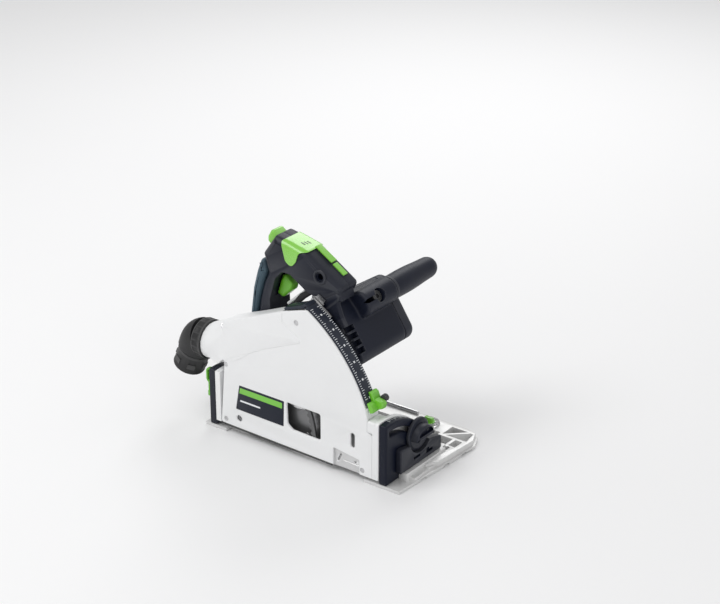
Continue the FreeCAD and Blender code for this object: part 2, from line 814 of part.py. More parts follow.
def gear_solid(teeth, width, first_tooth):
    """Spur gear along +Z with 20 degree involute flanks; one tooth points at first_tooth."""
    module = float(S["gear_module"])
    pitch = teeth * module / 2
    base = pitch * math.cos(math.radians(20))
    tip, root = pitch + 0.78 * module, pitch - 1.15 * module
    flank = involute_flank(base, tip, root)
    pitch_roll = math.tan(math.radians(20)) - math.radians(20)
    backlash = 0.10 * module / pitch
    half = math.pi / (2 * teeth) - backlash + pitch_roll
    corners = []
    for tooth in range(int(teeth)):
        middle = math.radians(first_tooth) + 2 * math.pi * tooth / teeth
        corners += ring_points(root, [middle - half])
        for radius, angle in flank:
            corners += ring_points(radius, [middle - half + angle])
        for radius, angle in reversed(flank):
            corners += ring_points(radius, [middle + half - angle])
        corners += ring_points(root, [middle + half])
    wire = Part.makePolygon(corners + [corners[0]])
    return Part.Face(wire).extrude(Vector(0, 0, width))


def laid_on_y(solid, spot, side):
    """Turn a solid drawn along +Z so that it runs along +Y from a point."""
    solid.Placement = Placement(Vector(float(spot[0]), side, float(spot[1])), AXIS_TURNS["y"])
    return solid


def coded(solid):
    """A document object for a shape that only a formula describes."""
    feature = DOC.addObject("Part::Feature", "coded")
    feature.Shape = solid
    return feature


def blade():
    radius, count = float(S["blade_radius"]), int(S["tooth_count"])
    gullet, pitch = radius - 8.5, 2 * math.pi / count
    corners = []
    for tooth in range(count):
        start = tooth * pitch
        corners += ring_points(radius, [start])
        corners += ring_points(radius - 0.8, [start + 0.30 * pitch])
        corners += ring_points(gullet + 2, [start + 0.62 * pitch])
        corners += ring_points(gullet, [start + 0.84 * pitch])
        corners += ring_points(gullet + 2.5, [start + 0.96 * pitch])
    disc = Part.Face(Part.makePolygon(corners + [corners[0]]))
    thickness = float(S["blade_thickness"])
    solid = disc.extrude(Vector(0, 0, thickness))
    bore = Part.makeCylinder(float(S["bore_radius"]) + 0.02, thickness + 2, Vector(0, 0, -1))
    slots = []
    for step in range(4):
        angle = math.radians(20 + 90 * step)
        for reach in (52, 56, 60):
            hole = Part.makeCylinder(1.3, thickness + 2, ring_points(reach, [angle])[0]
                                     - Vector(0, 0, 1))
            slots.append(hole)
            angle += 0.05
    solid = solid.cut(bore).cut(Part.makeCompound(slots))
    piece = laid_on_y(solid, SPINDLE, -thickness / 2)
    node("blade", group(coded(piece)), "head")


def spindle():
    """Shaft with the inner flange; the register carries the blade bore."""
    half = S["blade_thickness"] / 2
    register = rod("y", at(SPINDLE, -half + 0.1), S["bore_radius"], 0.1 + 2 * half)
    flange = rod("y", at(SPINDLE, half), S["flange_radius"], 5)
    shaft = rod("y", at(SPINDLE, half + 5), S["spindle_radius"], 27)
    journal = rod("y", at(SPINDLE, half + 32), 5, 5.2)
    thread_hole = rod("y", at(SPINDLE, -3), 4, 22)
    node("spindle", cut(fuse(register, flange, shaft, journal), thread_hole), "head")


def outer_flange():
    half = S["blade_thickness"] / 2
    radius = S["flange_radius"]
    profile = [(4.1, 0), (radius - 2, 0), (radius, 1.2), (radius, 3.2), (radius - 6, 3.2),
               (radius - 6, 2.6), (4.1, 2.6)]
    node("outer_flange", group(turned(profile, at(SPINDLE, -half - 3.2), "y")), "head")


def flange_screw():
    half = S["blade_thickness"] / 2
    solid = screw(at(SPINDLE, -half - 3.2), "y", 6.5, 3.0, 3.9, 17, 3.4)
    node("flange_screw", solid, "head")


def gears():
    """Two-stage reduction: motor pinion, idler wheel and pinion, spindle wheel."""
    line = -float(S["gear_line_angle"])
    first, second = FIRST_STAGE_Y, SECOND_STAGE_Y
    wheel = gear_solid(S["spindle_wheel_teeth"], 6.4, line)
    wheel = wheel.cut(Part.makeCylinder(float(S["spindle_radius"]), 20, Vector(0, 0, -5)))
    node("spindle_gear", group(coded(laid_on_y(wheel, SPINDLE, first))), "head")
    half_tooth = 180 / float(S["idler_pinion_teeth"])
    pinion = gear_solid(S["idler_pinion_teeth"], 6.6, line + 180 + half_tooth)
    big = gear_solid(S["idler_wheel_teeth"], 6.4, line)
    big.translate(Vector(0, 0, second - first))
    shaft = Part.makeCylinder(4, 23.0, Vector(0, 0, -3.2))
    pinion = pinion.fuse([Part.makeCylinder(7.5, second - first, Vector()), big, shaft])
    node("idler_gear", group(coded(laid_on_y(pinion, IDLER, first))), "head")


FIRST_STAGE_Y = 18.0
SECOND_STAGE_Y = 25.8


def armature():
    """Motor shaft with its pinion, rotor stack, commutator and fan."""
    half_tooth = 180 / float(S["motor_pinion_teeth"])
    teeth = gear_solid(S["motor_pinion_teeth"], 6.4,
                       180 - float(S["gear_line_angle"]) + half_tooth)
    shaft = Part.makeCylinder(4, 84.8, Vector(0, 0, 6.4))
    node("armature_shaft",
         group(coded(laid_on_y(teeth.fuse(shaft), MOTOR, SECOND_STAGE_Y))), "head")
    stack = cut(rod("y", at(MOTOR, 56), 19, 30), rod("y", at(MOTOR, 55), 4, 40),
                *[box_on_rotor(step) for step in range(6)])
    node("rotor", stack, "head")
    segments = [(4, 0), (11, 0), (11, 9), (12, 9), (12, 11), (4, 11)]
    node("commutator", group(turned(segments, at(MOTOR, 92), "y")), "head")
    hub = rod("y", at(MOTOR, 43), 8, 9)
    disc = rod("y", at(MOTOR, 43), 32, 1.8)
    vanes = []
    for step in range(12):
        vane = box((0, 0, 0), (17, 7, 1.2))
        place = Rotation(Vector(0, -1, 0), step * 30)
        spot = Vector(float(MOTOR[0]), 44.6, float(MOTOR[1]))
        vane.Placement = Placement(spot + place.multVec(Vector(14, 0, 0)), place)
        vanes.append(vane)
    node("fan", cut(fuse(hub, disc, *vanes), rod("y", at(MOTOR, 40), 4, 20)), "head")


def box_on_rotor(step):
    """One winding slot of the rotor."""
    slot = box((0, 0, 0), (6, 32, 1.6))
    place = Rotation(Vector(0, -1, 0), step * 60)
    spot = Vector(float(MOTOR[0]), 55, float(MOTOR[1]))
    slot.Placement = Placement(spot + place.multVec(Vector(14.5, 0, 0)), place)
    return slot


def stator():
    ring = cut(rod("y", at(MOTOR, 54), 35, 34), rod("y", at(MOTOR, 50), 20.5, 50))
    flats = [span((MOTOR[0] - 8, MOTOR[0] + 8), (50, 90), (MOTOR[1] + side, MOTOR[1] + side + 5))
             for side in (32, -37)]
    node("stator", cut(ring, *flats), "head")


def brush_gear():
    holders, brushes = [], []
    for side in (-1, 1):
        low = MOTOR[1] + (12 if side > 0 else -30)
        guide = span((MOTOR[0] - 5, MOTOR[0] + 5), (93, 102), (low, low + 18))
        lane = span((MOTOR[0] - 3.1, MOTOR[0] + 3.1), (94.4, 100.6), (low - 2, low + 22))
        holders.append(cut(guide, lane))
        tip = MOTOR[1] + (11.3 if side > 0 else -24.3)
        brushes.append(span((MOTOR[0] - 3, MOTOR[0] + 3), (94.5, 100.5), (tip, tip + 13)))
    node("brush_gear", group(*holders, *brushes), "head")


def bearing(spot, side, inner, outer, width):
    """Ball bearing as one ring with grooved faces."""
    ring = cut(rod("y", at(spot, side), outer, width), rod("y", at(spot, side - 1), inner, 20))
    middle = (inner + outer) / 2
    groove = cut(rod("y", at(spot, side - 0.1), middle + 1.2, 0.8),
                 rod("y", at(spot, side - 1), middle - 1.2, 4))
    return cut(ring, groove)


def bearings():
    gap = S["running_gap"]
    node("ball_bearings", group(bearing(SPINDLE, 7.2, S["spindle_radius"] + gap, 15, 8),
                                bearing(SPINDLE, 33.2, 5 + gap, 11, 4.6),
                                bearing(IDLER, 14.4, 4 + gap, 8, 3),
                                bearing(IDLER, 33.2, 4 + gap, 9.4, 4.6),
                                bearing(MOTOR, 33.2, 4 + gap, 11, 4.6),
                                bearing(MOTOR, 112.2, 4 + gap, 9.4, 5)), "head")


# ---------------------------------------------------------------- riving knife

def riving_knife():
    """Knife behind the blade, on a carrier that turns round the spindle neck."""
    edge = S["blade_radius"] + 3
    outer = S["blade_radius"] + 12
    last = 221 - KNIFE_RETRACT
    foot_last = 184 - KNIFE_RETRACT
    half = S["blade_thickness"] / 2
    carrier_y, plate_y = 6.9, 1.7
    knife = cut(rod("y", at(SPINDLE, -half), outer, 2 * half, 47, -last),
                rod("y", at(SPINDLE, -5), edge, 10))
    carrier = rod("y", at(SPINDLE, carrier_y), 23.5, plate_y)
    spoke = rod("y", at(SPINDLE, carrier_y), outer - 1, plate_y, 10, -foot_last)
    foot = cut(rod("y", at(SPINDLE, half - 0.3), outer - 1, carrier_y - half + 0.8, 10,
                   -foot_last),
               rod("y", at(SPINDLE, 0), edge + 0.2, 20))
    neck = rod("y", at(SPINDLE, 0), 17.6, 20)
    node("riving_knife", fuse(knife, foot, cut(fuse(carrier, spoke), neck)), "head")


KNIFE_RETRACT = 16.0


# ---------------------------------------------------------------- head castings and shells

def gear_case():
    """Gear housing with the arm to the plunge axle and the neck that holds the spindle."""
    near, back = 14.0, 33.0
    depth = back - near
    u = S["arm_length"]
    across, up = -LINE_W, LINE_U
    small, large = 22.5, 26.0
    hull = plate("xz", [(u + across * small, up * small),
                        (MOTOR[0] + across * large, MOTOR[1] + up * large),
                        (MOTOR[0] - across * large, MOTOR[1] - up * large),
                        (u - across * small, -up * small)], near, depth)
    neck = rod("y", at(SPINDLE, 6.5), 17.5, 8)
    arm = plate("xz", [(0, -11.5), (90, -13), (96, 14), (0, 11.5)], near, 9)
    boss = rod("y", at((0, 0), near), 13, 20)
    web = plate("xz", [(10, -2), (88, -2), (88, 2), (10, 2)], near + 8.5, 6)
    outer = fuse(rod("y", at(SPINDLE, near), small, depth),
                 rod("y", at(MOTOR, near), large, depth), hull, neck, arm, boss, web)
    cavity = [rod("y", at(SPINDLE, 17), 19.6, 17), rod("y", at(IDLER, 17.4), 20.9, 17),
              rod("y", at(MOTOR, 17.4), 9, 17)]
    seats = [rod("y", at(SPINDLE, 7.2), 15, 12), rod("y", at(SPINDLE, 0), 12, 20),
             rod("y", at(IDLER, 14.4), 8, 4)]
    axle_hole = rod("y", at((0, 0), 0), S["axle_radius"] + S["running_gap"], 60)
    node("gear_case", cut(outer, axle_hole, *cavity, *seats), "head")


def bearing_plate():
    """Plate behind the gears; it seats the rear bearings and the motor's front bearing."""
    near, depth = 33.1, 4.8
    across, up = -LINE_W, LINE_U
    small, large = 22.0, 25.5
    hull = plate("xz", [(SPINDLE[0] + across * small, up * small),
                        (MOTOR[0] + across * large, MOTOR[1] + up * large),
                        (MOTOR[0] - across * large, MOTOR[1] - up * large),
                        (SPINDLE[0] - across * small, -up * small)], near, depth)
    solid = fuse(rod("y", at(SPINDLE, near), small, depth),
                 rod("y", at(MOTOR, near), large, depth), hull)
    seats = [rod("y", at(SPINDLE, 33.15), 11, 4.7), rod("y", at(IDLER, 33.15), 9.4, 4.7),
             rod("y", at(MOTOR, 33.15), 11, 4.7)]
    bores = [rod("y", at(spot, 30), 5.6, 20) for spot in (SPINDLE, IDLER, MOTOR)]
    node("bearing_plate", cut(solid, *seats, *bores), "head")


def housing_screws():
    """Two screws of the bearing plate and the large screw of the front handle."""
    across, up = -LINE_W, LINE_U
    solids = []
    for side in (-1, 1):
        spot = (MOTOR[0] + across * 4.5 * side, MOTOR[1] + up * 22.5 * side)
        solids.append(rod("y", at(spot, 37.95), 2.6, 1.6))
    head = rod("x", (216.2, 71, S["aux_height"]), 7, 4.5)
    solids.append(cut(head, rod("x", (219, 71, S["aux_height"]), 3, 4)))
    node("housing_screws", group(*solids), "head")


def motor_outline(inset):
    front, top = S["motor_front"], S["motor_top"]
    return [(98 + inset, 0 + inset), (front - inset, 0 + inset),
            (front - inset, 60), (200 - inset, top - inset), (98 + inset, top - inset)]


def case_room(gap, start, thickness):
    """Room that the gear case needs inside the motor shell."""
    across, up = -LINE_W, LINE_U
    small, large = 22.5 + gap, 26.0 + gap
    hull = plate("xz", [(SPINDLE[0] + across * small, up * small),
                        (MOTOR[0] + across * large, MOTOR[1] + up * large),
                        (MOTOR[0] - across * large, MOTOR[1] - up * large),
                        (SPINDLE[0] - across * small, -up * small)], start, thickness)
    arm = plate("xz", [(80, -40), (130, -40), (112, 18), (80, 18)], start, thickness)
    return fuse(rod("y", at(SPINDLE, start), small, thickness),
                rod("y", at(MOTOR, start), large, thickness), hull, arm)


def motor_housing():
    near, seam = S["motor_near"], S["motor_seam"]
    shell = plate("xz", motor_outline(0), near, seam - near)
    shell = soften(shell, 12, along("y", (S["motor_front"], near, 0)[::2]))
    boss_near = 46.0
    boss = rod("y", (S["aux_forward"], boss_near, S["aux_height"]), S["aux_radius"] + 1.5,
               S["aux_root"] - boss_near)
    boss_fill = plate("xz", [(196, 52), (204, 52), (214, 52), (222, 76), (206, 82), (196, 82)],
                      boss_near, S["aux_root"] - boss_near)
    cavity = rod("y", at(MOTOR, 38.2), 35.4, seam)
    room = case_room(0.4, near - 1, 38.3 - near + 1)
    pocket = plate("xz", [(180, 10), (200, 10), (200, 54), (186, 70), (180, 70)], 42, 62)
    vents = []
    for w in (21, 33, 45):
        vents.append(span((198, 206), (22, 38), (w - 4.5, w + 4.5)))
    recess = rod("x", (216, 71, S["aux_height"]), 8, 20)
    bolt = rod("y", (S["aux_forward"], 82, S["aux_height"]), 4.1, 40)
    slot = span((221, 230), (47, 64), (S["aux_height"] - 2.5, S["aux_height"] + 2.5))
    handle_room = rod("y", (S["aux_forward"], S["aux_root"], S["aux_height"]), 17.6, 40)
    solid = cut(fuse(shell, boss, boss_fill), cavity, room, pocket, recess, bolt, slot, handle_room,
                *vents)
    node("motor_housing", solid, "head")


def end_cap():
    seam, far = S["motor_seam"] + 0.3, S["motor_far"]
    cap = plate("xz", motor_outline(0), seam, far - seam)
    cap = soften(cap, 12, along("y", (S["motor_front"], 0)))
    cap = soften(cap, 8, ring_of_face("y", far))
    hollow = rod("y", at(MOTOR, seam - 1), 33, 9)
    seat = rod("y", at(MOTOR, seam - 1), 9.4, 10)
    handle_room = rod("y", (S["aux_forward"], S["aux_root"], S["aux_height"]), 17.6, 40)
    vents = [span((u, u + 3), (far - 3, far + 1), (24, 56)) for u in range(116, 166, 7)]
    boss = cut(rod("y", at(MOTOR, 112), 13, 8), rod("y", at(MOTOR, 111), 9.4, 6.3))
    node("end_cap", cut(fuse(cut(cap, hollow), boss), seat, handle_room, *vents), "head")


HANDLE_REAR = [(52, 84), (70, 111.5), (94, 138.5), (112, 154), (134, 169.4)]
GRIP_INNER = [(62, 80), (82.6, 108.5), (95, 121.9), (112, 136.5), (127, 146)]


def handle_outline():
    """Side outline of the hard shells, lowered frame."""
    return ([(97.6, 60), (97.6, 84.4), (214, 84.4), (222, 90), (196.7, 146.8), (177.8, 167),
             (163.5, 180.8), (134, 169.4)] + GRIP_INNER[::-1] + [(56, 62)])


def handle_opening(start, thickness):
    return plate("xz", [(98, 93), (112, 116.5), (135, 135.5), (150, 139), (160, 132),
                        (171, 107), (182, 93)], start, thickness)


def handle_shell(label, start, end, open_side):
    """One half of the handle, hollow towards the other half."""
    body = plate("xz", handle_outline(), start, end - start)
    body = cut(body, handle_opening(start - 1, end - start + 2))
    body = soften(body, 5, along("y", (222, 90), (196.7, 146.8), (177.8, 167)))
    body = soften(body, 1.5, along("y", (163.5, 180.8)))
    wall = S["shell_wall"]
    low = start + wall if open_side > 0 else start - 1
    depth = (end - start) - wall + 1
    spine = plate("xz", [(176, 112), (190, 92), (212, 92), (192, 142), (176, 161),
                         (162, 172), (142, 164), (156, 146)], low, depth)
    grip = plate("xz", [(86, 106), (92, 98), (108, 118), (132, 139), (128, 142.5),
                        (112, 132), (97, 119)], low, depth)
    window = span((129, 137), (low, low + depth), (128, 142))
    foot = plate("xz", [(66, 66), (94, 66), (94, 86), (88, 92), (70, 80)], low, depth)
    band = plate("xz", BAND_ROOM, start - 1, end - start + 2)
    band_room = cut(band, plate("xz", BAND_CORE, start + (1.6 if open_side > 0 else -1),
                                end - start - 0.6))
    key_hole = rod("y", (201, start - 1, 114), 4.5, 30)
    socket = rod("x", (40, S["handle_middle"], 73), 11.2, 24)
    button = plate("xz", BUTTON_ROOM, S["handle_middle"] - 10.4, 20.8)
    pull = plate("xz", [(112.5, 116.0), (136.9, 136.2), (134, 139.4), (108.5, 119.4)], 28, 16.2)
    solid = cut(body, spine, grip, window, foot, band_room, key_hole, socket, button, pull)
    node(label, solid, "head")


BAND_ROOM = [(178.4, 140.6), (167.4, 137.8), (163.0, 148.2), (172.8, 171.8), (190, 186),
             (200.7, 143), (189, 148.4)]
BAND_CORE = [(158, 130), (158, 148), (173.1, 168.4), (176.8, 164.9), (195, 145.2),
             (188, 132)]
FACE_START = (134.0, 169.4)


def on_face(reach, height):
    """A spot by its distance along the handle's upper rear face and its height over it."""
    lean = math.atan2(11.4, 29.5)
    return (FACE_START[0] + reach * math.cos(lean) - height * math.sin(lean),
            FACE_START[1] + reach * math.sin(lean) + height * math.cos(lean))


BUTTON_ROOM = [on_face(reach, height) for reach, height in
               ((11.1, -9.5), (29.8, -9.5), (29.8, 4), (11.1, 4))]


def soft_grip():
    near, far = S["handle_near"], S["handle_far"]
    body = plate("xz", HANDLE_REAR[:-1] + [(133.4, 168.4)]
                 + [(u - 0.35, w + 0.35) for u, w in GRIP_INNER[::-1]], near, far - near)
    body = soften(body, 7, lambda edge: grip_rear_edge(edge, near, far))
    node("soft_grip", cut(body, rod("x", (40, S["handle_middle"], 73), 11.2, 24)), "head")


def grip_rear_edge(edge, near, far):
    box_ = edge.BoundBox
    if abs(box_.YMin - box_.YMax) > 0.01:
        return False
    if min(abs(box_.YMin - float(near)), abs(box_.YMin - float(far))) > 0.01:
        return False
    middle = edge.CenterOfMass
    rear = [Vector(u, middle.y, w) for u, w in HANDLE_REAR]
    spans = zip(rear, rear[1:])
    return any(middle.distanceToLine(a, b - a) < 0.5
               and (middle - a).dot(b - a) > 0 and (middle - b).dot(a - b) > 0
               for a, b in spans)


def green_band():
    """Blade-change lever: a saddle over the handle with a tongue along its top."""
    near, far = S["handle_near"] - 1.2, S["handle_far"] + 1.2
    side = [(177.6, 142.2), (168.2, 139.8), (164.8, 148.4), (174.0, 170.2), (178.9, 168.6),
            (198.4, 147.9), (197.0, 145.8), (188.0, 150.4)]
    core = [(150, 120), (157.7, 148.2)] + [(u + 0.3, w + 0.3) for u, w in BAND_CORE[2:5]]
    core.append((200, 120))
    saddle = cut(plate("xz", side, near, far - near),
                 plate("xz", core, near + 2.6, far - near - 5.2))
    tongue = plate("xz", [(197.8, 148.4), (209.5, 124), (208.0, 123.4), (196.4, 147.4)], 38, 9)
    hinge = rod("y", at((209, 123.7), 38), 1.3, 9)
    node("change_lever", fuse(saddle, tongue, hinge), "head")


def lock_button():
    side = [on_face(reach, height) for reach, height in
            ((11.5, -5.5), (29.4, -5.5), (29.4, 8.5), (26.5, 10.5), (17, 9.6), (11.5, 6))]
    node("lock_button", plate("xz", side, S["handle_middle"] - 10, 20), "head")


def trigger():
    blade_ = plate("xz", [(136.4, 135.0), (141, 133.4), (145.6, 119.6), (140, 114.6),
                          (120.5, 110.6), (115, 118.4)], 28.5, 15)
    node("trigger", fuse(blade_, rod("y", at((138.5, 133), 28.5), 2.2, 15)), "head")


def switch_module():
    body = plate("xz", [(115, 127), (124.5, 135), (122.5, 138), (111, 130.4)], 28, 16)
    node("switch_module", body, "head")


def electronics():
    board = span((183, 186), (46, 100), (14, 52))
    parts = [span((186, 197), (54, 70), (20, 34)), span((186, 192), (76, 92), (18, 44))]
    node("electronics_module", fuse(board, *parts), "head")


def speed_dial():
    wheel = rod("x", (94.6, 74, 44), 9.5, 3.2)
    notches = []
    for step in range(12):
        angle = 30 * step
        notches.append(rod("x", (94, 74 + 9.8 * cosd(angle), 44 + 9.8 * sind(angle)), 1.2, 5))
    node("speed_dial", cut(wheel, *notches), "head")


def power_socket():
    middle = S["handle_middle"]
    body = cut(rod("x", (45, middle, 73), 11, 14), rod("x", (44, middle, 73), 8, 10))
    pins = [rod("x", (47, middle + side, 73), 1.4, 9) for side in (-3.2, 3.2)]
    node("power_socket", fuse(body, *pins), "head")


def aux_handle():
    root, radius = S["aux_root"] + 0.3, S["aux_radius"]
    length = S["aux_tip"] - S["aux_root"]
    profile = [(0, -12), (4, -12), (4, 0), (radius + 0.7, 0), (radius + 0.7, 4),
               (radius - 0.6, 6), (radius, 48), (radius - 1.6, length - 12), (0, length)]
    profile.insert(-1, (radius - 4.5, length - 3))
    grip = turned(profile, (S["aux_forward"], root, S["aux_height"]), "y")
    node("aux_handle", group(grip), "head")


def stop_lug():
    """Steel lug of the head that rides above the depth stop."""
    lug = common(cut(rod("y", at((0, 0), 14.1), 213, 1.8, 3, -27),
                     rod("y", at((0, 0), 13), 196, 5)), span((0, 300), (13, 30), (0, 200)))
    arm = plate("xz", [(170, 83), (190, 83), (191, 94.5), (179, 98)], 14.1, 1.8)
    foot = span((150, 190), (14.1, 16.8), (84.6, 88))
    node("stop_lug", fuse(lug, arm, foot), "head")


# ---------------------------------------------------------------- depth stop and clamps

def depth_stop():
    """Slider on the scale: a saddle on the rim with a finger grip."""
    outer = S["guard_radius"] + 0.25
    near = S["cover_face"] + S["cover_wall"] + 0.4
    saddle = cut(rod("y", at(PIVOT, near), 213, 22.5, 6.5, -25.2),
                 rod("y", at(PIVOT, near - 1), outer, 30))
    finger = cut(rod("y", at(PIVOT, near + 9), 223, 9, 3.4, -22.6),
                 rod("y", at(PIVOT, near - 1), outer, 30),
                 rod("y", at(STOP_KNOB, near + 11), 1.6, 20))
    claw = cut(rod("y", at(PIVOT, 12.2), 213, 1.2, 5, -24.8),
               rod("y", at(PIVOT, 10), 200.5, 10))
    node("depth_stop", fuse(saddle, finger, claw))


STOP_KNOB = (218.0 * cosd(21.8), PIVOT[1] + 218.0 * sind(21.8))


def stop_knob():
    """Knurled knob beside the finger grip; its stem passes into the grip."""
    wheel = fuse(rod("y", at(STOP_KNOB, 9.2), 4.4, 7.2), rod("y", at(STOP_KNOB, 3), 1.5, 7))
    grooves = []
    for step in range(14):
        angle = 360 / 14 * step
        place = (STOP_KNOB[0] + 4.6 * cosd(angle), STOP_KNOB[1] + 4.6 * sind(angle))
        grooves.append(rod("y", at(place, 8), 0.5, 10))
    node("stop_knob", cut(wheel, *grooves))


def front_tilt_knob():
    """Round clamp knob with a wing; its stud passes through the quadrant's slot."""
    side, up = clamp_places()["front"]
    face = S["segment_front_x"] + S["segment_thickness"] + 0.4
    base = rod("x", (face, side, up), 21, 4)
    skirt = cone("x", (face + 4, side, up), 19, 13.5, 3)
    dome = rod("x", (face + 4, side, up), 18.5, 12)
    flats = [box((face + 3, side - 22, up + low), (14, 44, 18)) for low in (4.2, -22.2)]
    stud = rod("x", (face - 17, side, up), 2.9, 17)
    node("front_tilt_knob", fuse(base, cut(dome, *flats), skirt, stud))


def rear_tilt_knob():
    """Flat clamp knob with finger hollows round its rim."""
    side, up = clamp_places()["rear"]
    face = S["segment_rear_x"] - S["segment_thickness"] - 0.4
    base = rod("x", (face - 4.2, side, up), 18, 4.2)
    hollows = [rod("x", (face - 6, side + 21.5 * cosd(45 * step), up + 21.5 * sind(45 * step)),
                   5.5, 8) for step in range(8)]
    stud = rod("x", (face, side, up), 2.9, 27)
    node("rear_tilt_knob", fuse(cut(base, *hollows), stud))


def clamp_places():
    rear_radius = S["segment_radius"] - 16
    return {
        "front": (CLAMP_SIDE, CLAMP_UP),
        "rear": (rear_radius * sind(S["clamp_angle"]), rear_radius * cosd(S["clamp_angle"])),
    }


def undercut_lever():
    """Green pull ring that frees the last degree of tilt at either end."""
    face = S["segment_rear_x"] - S["segment_thickness"] - 0.3
    middle, side, width = face - 9.9, 1.0, 5.0
    loop = fuse(rod("y", (middle, side, 57), 5, width), rod("y", (middle, side, 67), 5, width),
                span((middle - 5, middle + 5), (side, side + width), (57, 67)))
    eye = fuse(rod("y", (middle, side - 1, 57), 2.6, width + 2),
               rod("y", (middle, side - 1, 67), 2.6, width + 2),
               span((middle - 2.6, middle + 2.6), (side - 1, side + width + 1), (57, 67)))
    arm = span((middle - 1.8, middle + 3.2), (side, side + width), (34, 54))
    foot = span((middle - 1.8, face), (side - 1, side + width + 2), (34, 41))
    node("undercut_lever", fuse(cut(loop, eye), arm, foot))


# ---------------------------------------------------------------- build and write

def build_table():
    base_plate()
    glide_strips()
    segment("front_quadrant", S["segment_front_x"], S["segment_radius"])
    segment("rear_quadrant", S["segment_rear_x"] - S["segment_thickness"],
            S["segment_radius"] - 3)
    front_block()
    rear_block()
    rail_jaw("front_rail_jaw", FRONT_JAW_X)
    rail_jaw("rear_rail_jaw", REAR_JAW_X)
    rail_rod()


def build_guard():
    guard_housing()
    guard_cover()
    label_plate()
    cover_screws()
    lower_seal()
    depth_scale()
    front_bracket()
    rear_bracket()
    pivot_axle()
    return_spring()
    lock_quadrant()
    dust_port()
    dust_elbow()
    dust_nozzle()
    depth_stop()
    stop_knob()
    front_tilt_knob()
    rear_tilt_knob()
    undercut_lever()


def build_head():
    blade()
    spindle()
    outer_flange()
    flange_screw()
    gears()
    armature()
    stator()
    brush_gear()
    bearings()
    riving_knife()
    gear_case()
    bearing_plate()
    housing_screws()
    motor_housing()
    end_cap()
    handle_shell("handle_near_shell", S["handle_near"], S["handle_middle"] - 0.05, 1)
    handle_shell("handle_far_shell", S["handle_middle"] + 0.05, S["handle_far"], -1)
    soft_grip()
    green_band()
    lock_button()
    trigger()
    switch_module()
    electronics()
    speed_dial()
    power_socket()
    aux_handle()
    stop_lug()


def check_document():
    """Stop if any object failed or any piece has no sound shape."""
    for thing in DOC.Objects:
        if {"Invalid", "Error"} & set(thing.State):
            raise RuntimeError(f"{thing.Name} ({thing.Label}) failed: {thing.State}")
    for label, thing in NODES.items():
        if thing.Shape.isNull() or not thing.Shape.isValid() or not thing.Shape.Solids:
            raise RuntimeError(f"{label} has no sound shape")


def write_parts():
    os.makedirs("parts", exist_ok=True)
    for label, thing in NODES.items():
        thing.Shape.exportStep(f"parts/{label}.step")


build_table()
build_guard()
build_head()
DOC.recompute()
check_document()
write_parts()
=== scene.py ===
import json
import math

import bmesh
import bpy
from mathutils import Matrix, Vector
from mathutils.geometry import tessellate_polygon


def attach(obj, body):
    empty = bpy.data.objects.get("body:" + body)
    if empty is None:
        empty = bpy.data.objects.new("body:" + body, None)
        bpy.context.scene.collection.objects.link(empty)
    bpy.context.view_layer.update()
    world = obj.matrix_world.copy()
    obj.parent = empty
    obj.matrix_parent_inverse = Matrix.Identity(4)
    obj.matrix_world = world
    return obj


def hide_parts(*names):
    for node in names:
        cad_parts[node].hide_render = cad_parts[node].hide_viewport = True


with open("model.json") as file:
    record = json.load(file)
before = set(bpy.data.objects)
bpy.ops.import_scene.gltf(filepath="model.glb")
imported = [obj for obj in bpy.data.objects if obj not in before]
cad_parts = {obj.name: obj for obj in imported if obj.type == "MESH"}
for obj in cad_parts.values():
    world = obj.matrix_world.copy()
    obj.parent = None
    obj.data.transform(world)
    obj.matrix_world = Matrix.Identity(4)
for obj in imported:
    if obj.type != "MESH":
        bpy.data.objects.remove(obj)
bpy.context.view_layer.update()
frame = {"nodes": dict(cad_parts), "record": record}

# Lengths below are in millimetres in the row frame; MM turns them into metres. The head is
# drawn in its lowered frame (u forward, w up from the plunge axle) and raised by HEAD_MM.
MM = 0.001
NODES = frame["nodes"]
JOINTS = {joint["name"]: joint for joint in frame["record"]["behaviour"]["joints"]}
PIVOT_Z = JOINTS["plunge"]["pos_m"][2] * 1000
RAISED = math.radians(JOINTS["plunge"]["range_deg"][1])


# ---------------------------------------------------------------- materials

def new_material(name):
    material = bpy.data.materials.new(name)
    material.use_nodes = True
    tree = material.node_tree
    return material, tree, tree.nodes["Principled BSDF"]


def add(tree, kind, **inputs):
    node = tree.nodes.new(kind)
    for key, value in inputs.items():
        node.inputs[key.replace("_", " ")].default_value = value
    return node


def shade(color, factor):
    return tuple(min(1.0, max(0.0, c * factor)) for c in color[:3]) + (1.0,)


def ranged(tree, source, low, high, out_low, out_high):
    node = tree.nodes.new("ShaderNodeMapRange")
    tree.links.new(source, node.inputs["Value"])
    for name, value in (("From Min", low), ("From Max", high), ("To Min", out_low),
                        ("To Max", out_high)):
        node.inputs[name].default_value = value
    return node.outputs["Result"]


def blend_colors(tree, factor, first, second):
    node = tree.nodes.new("ShaderNodeMix")
    node.data_type = "RGBA"
    tree.links.new(factor, node.inputs["Factor"])
    for socket, value in ((node.inputs["A"], first), (node.inputs["B"], second)):
        if hasattr(value, "is_linked"):
            tree.links.new(value, socket)
        else:
            socket.default_value = value
    return node.outputs["Result"]


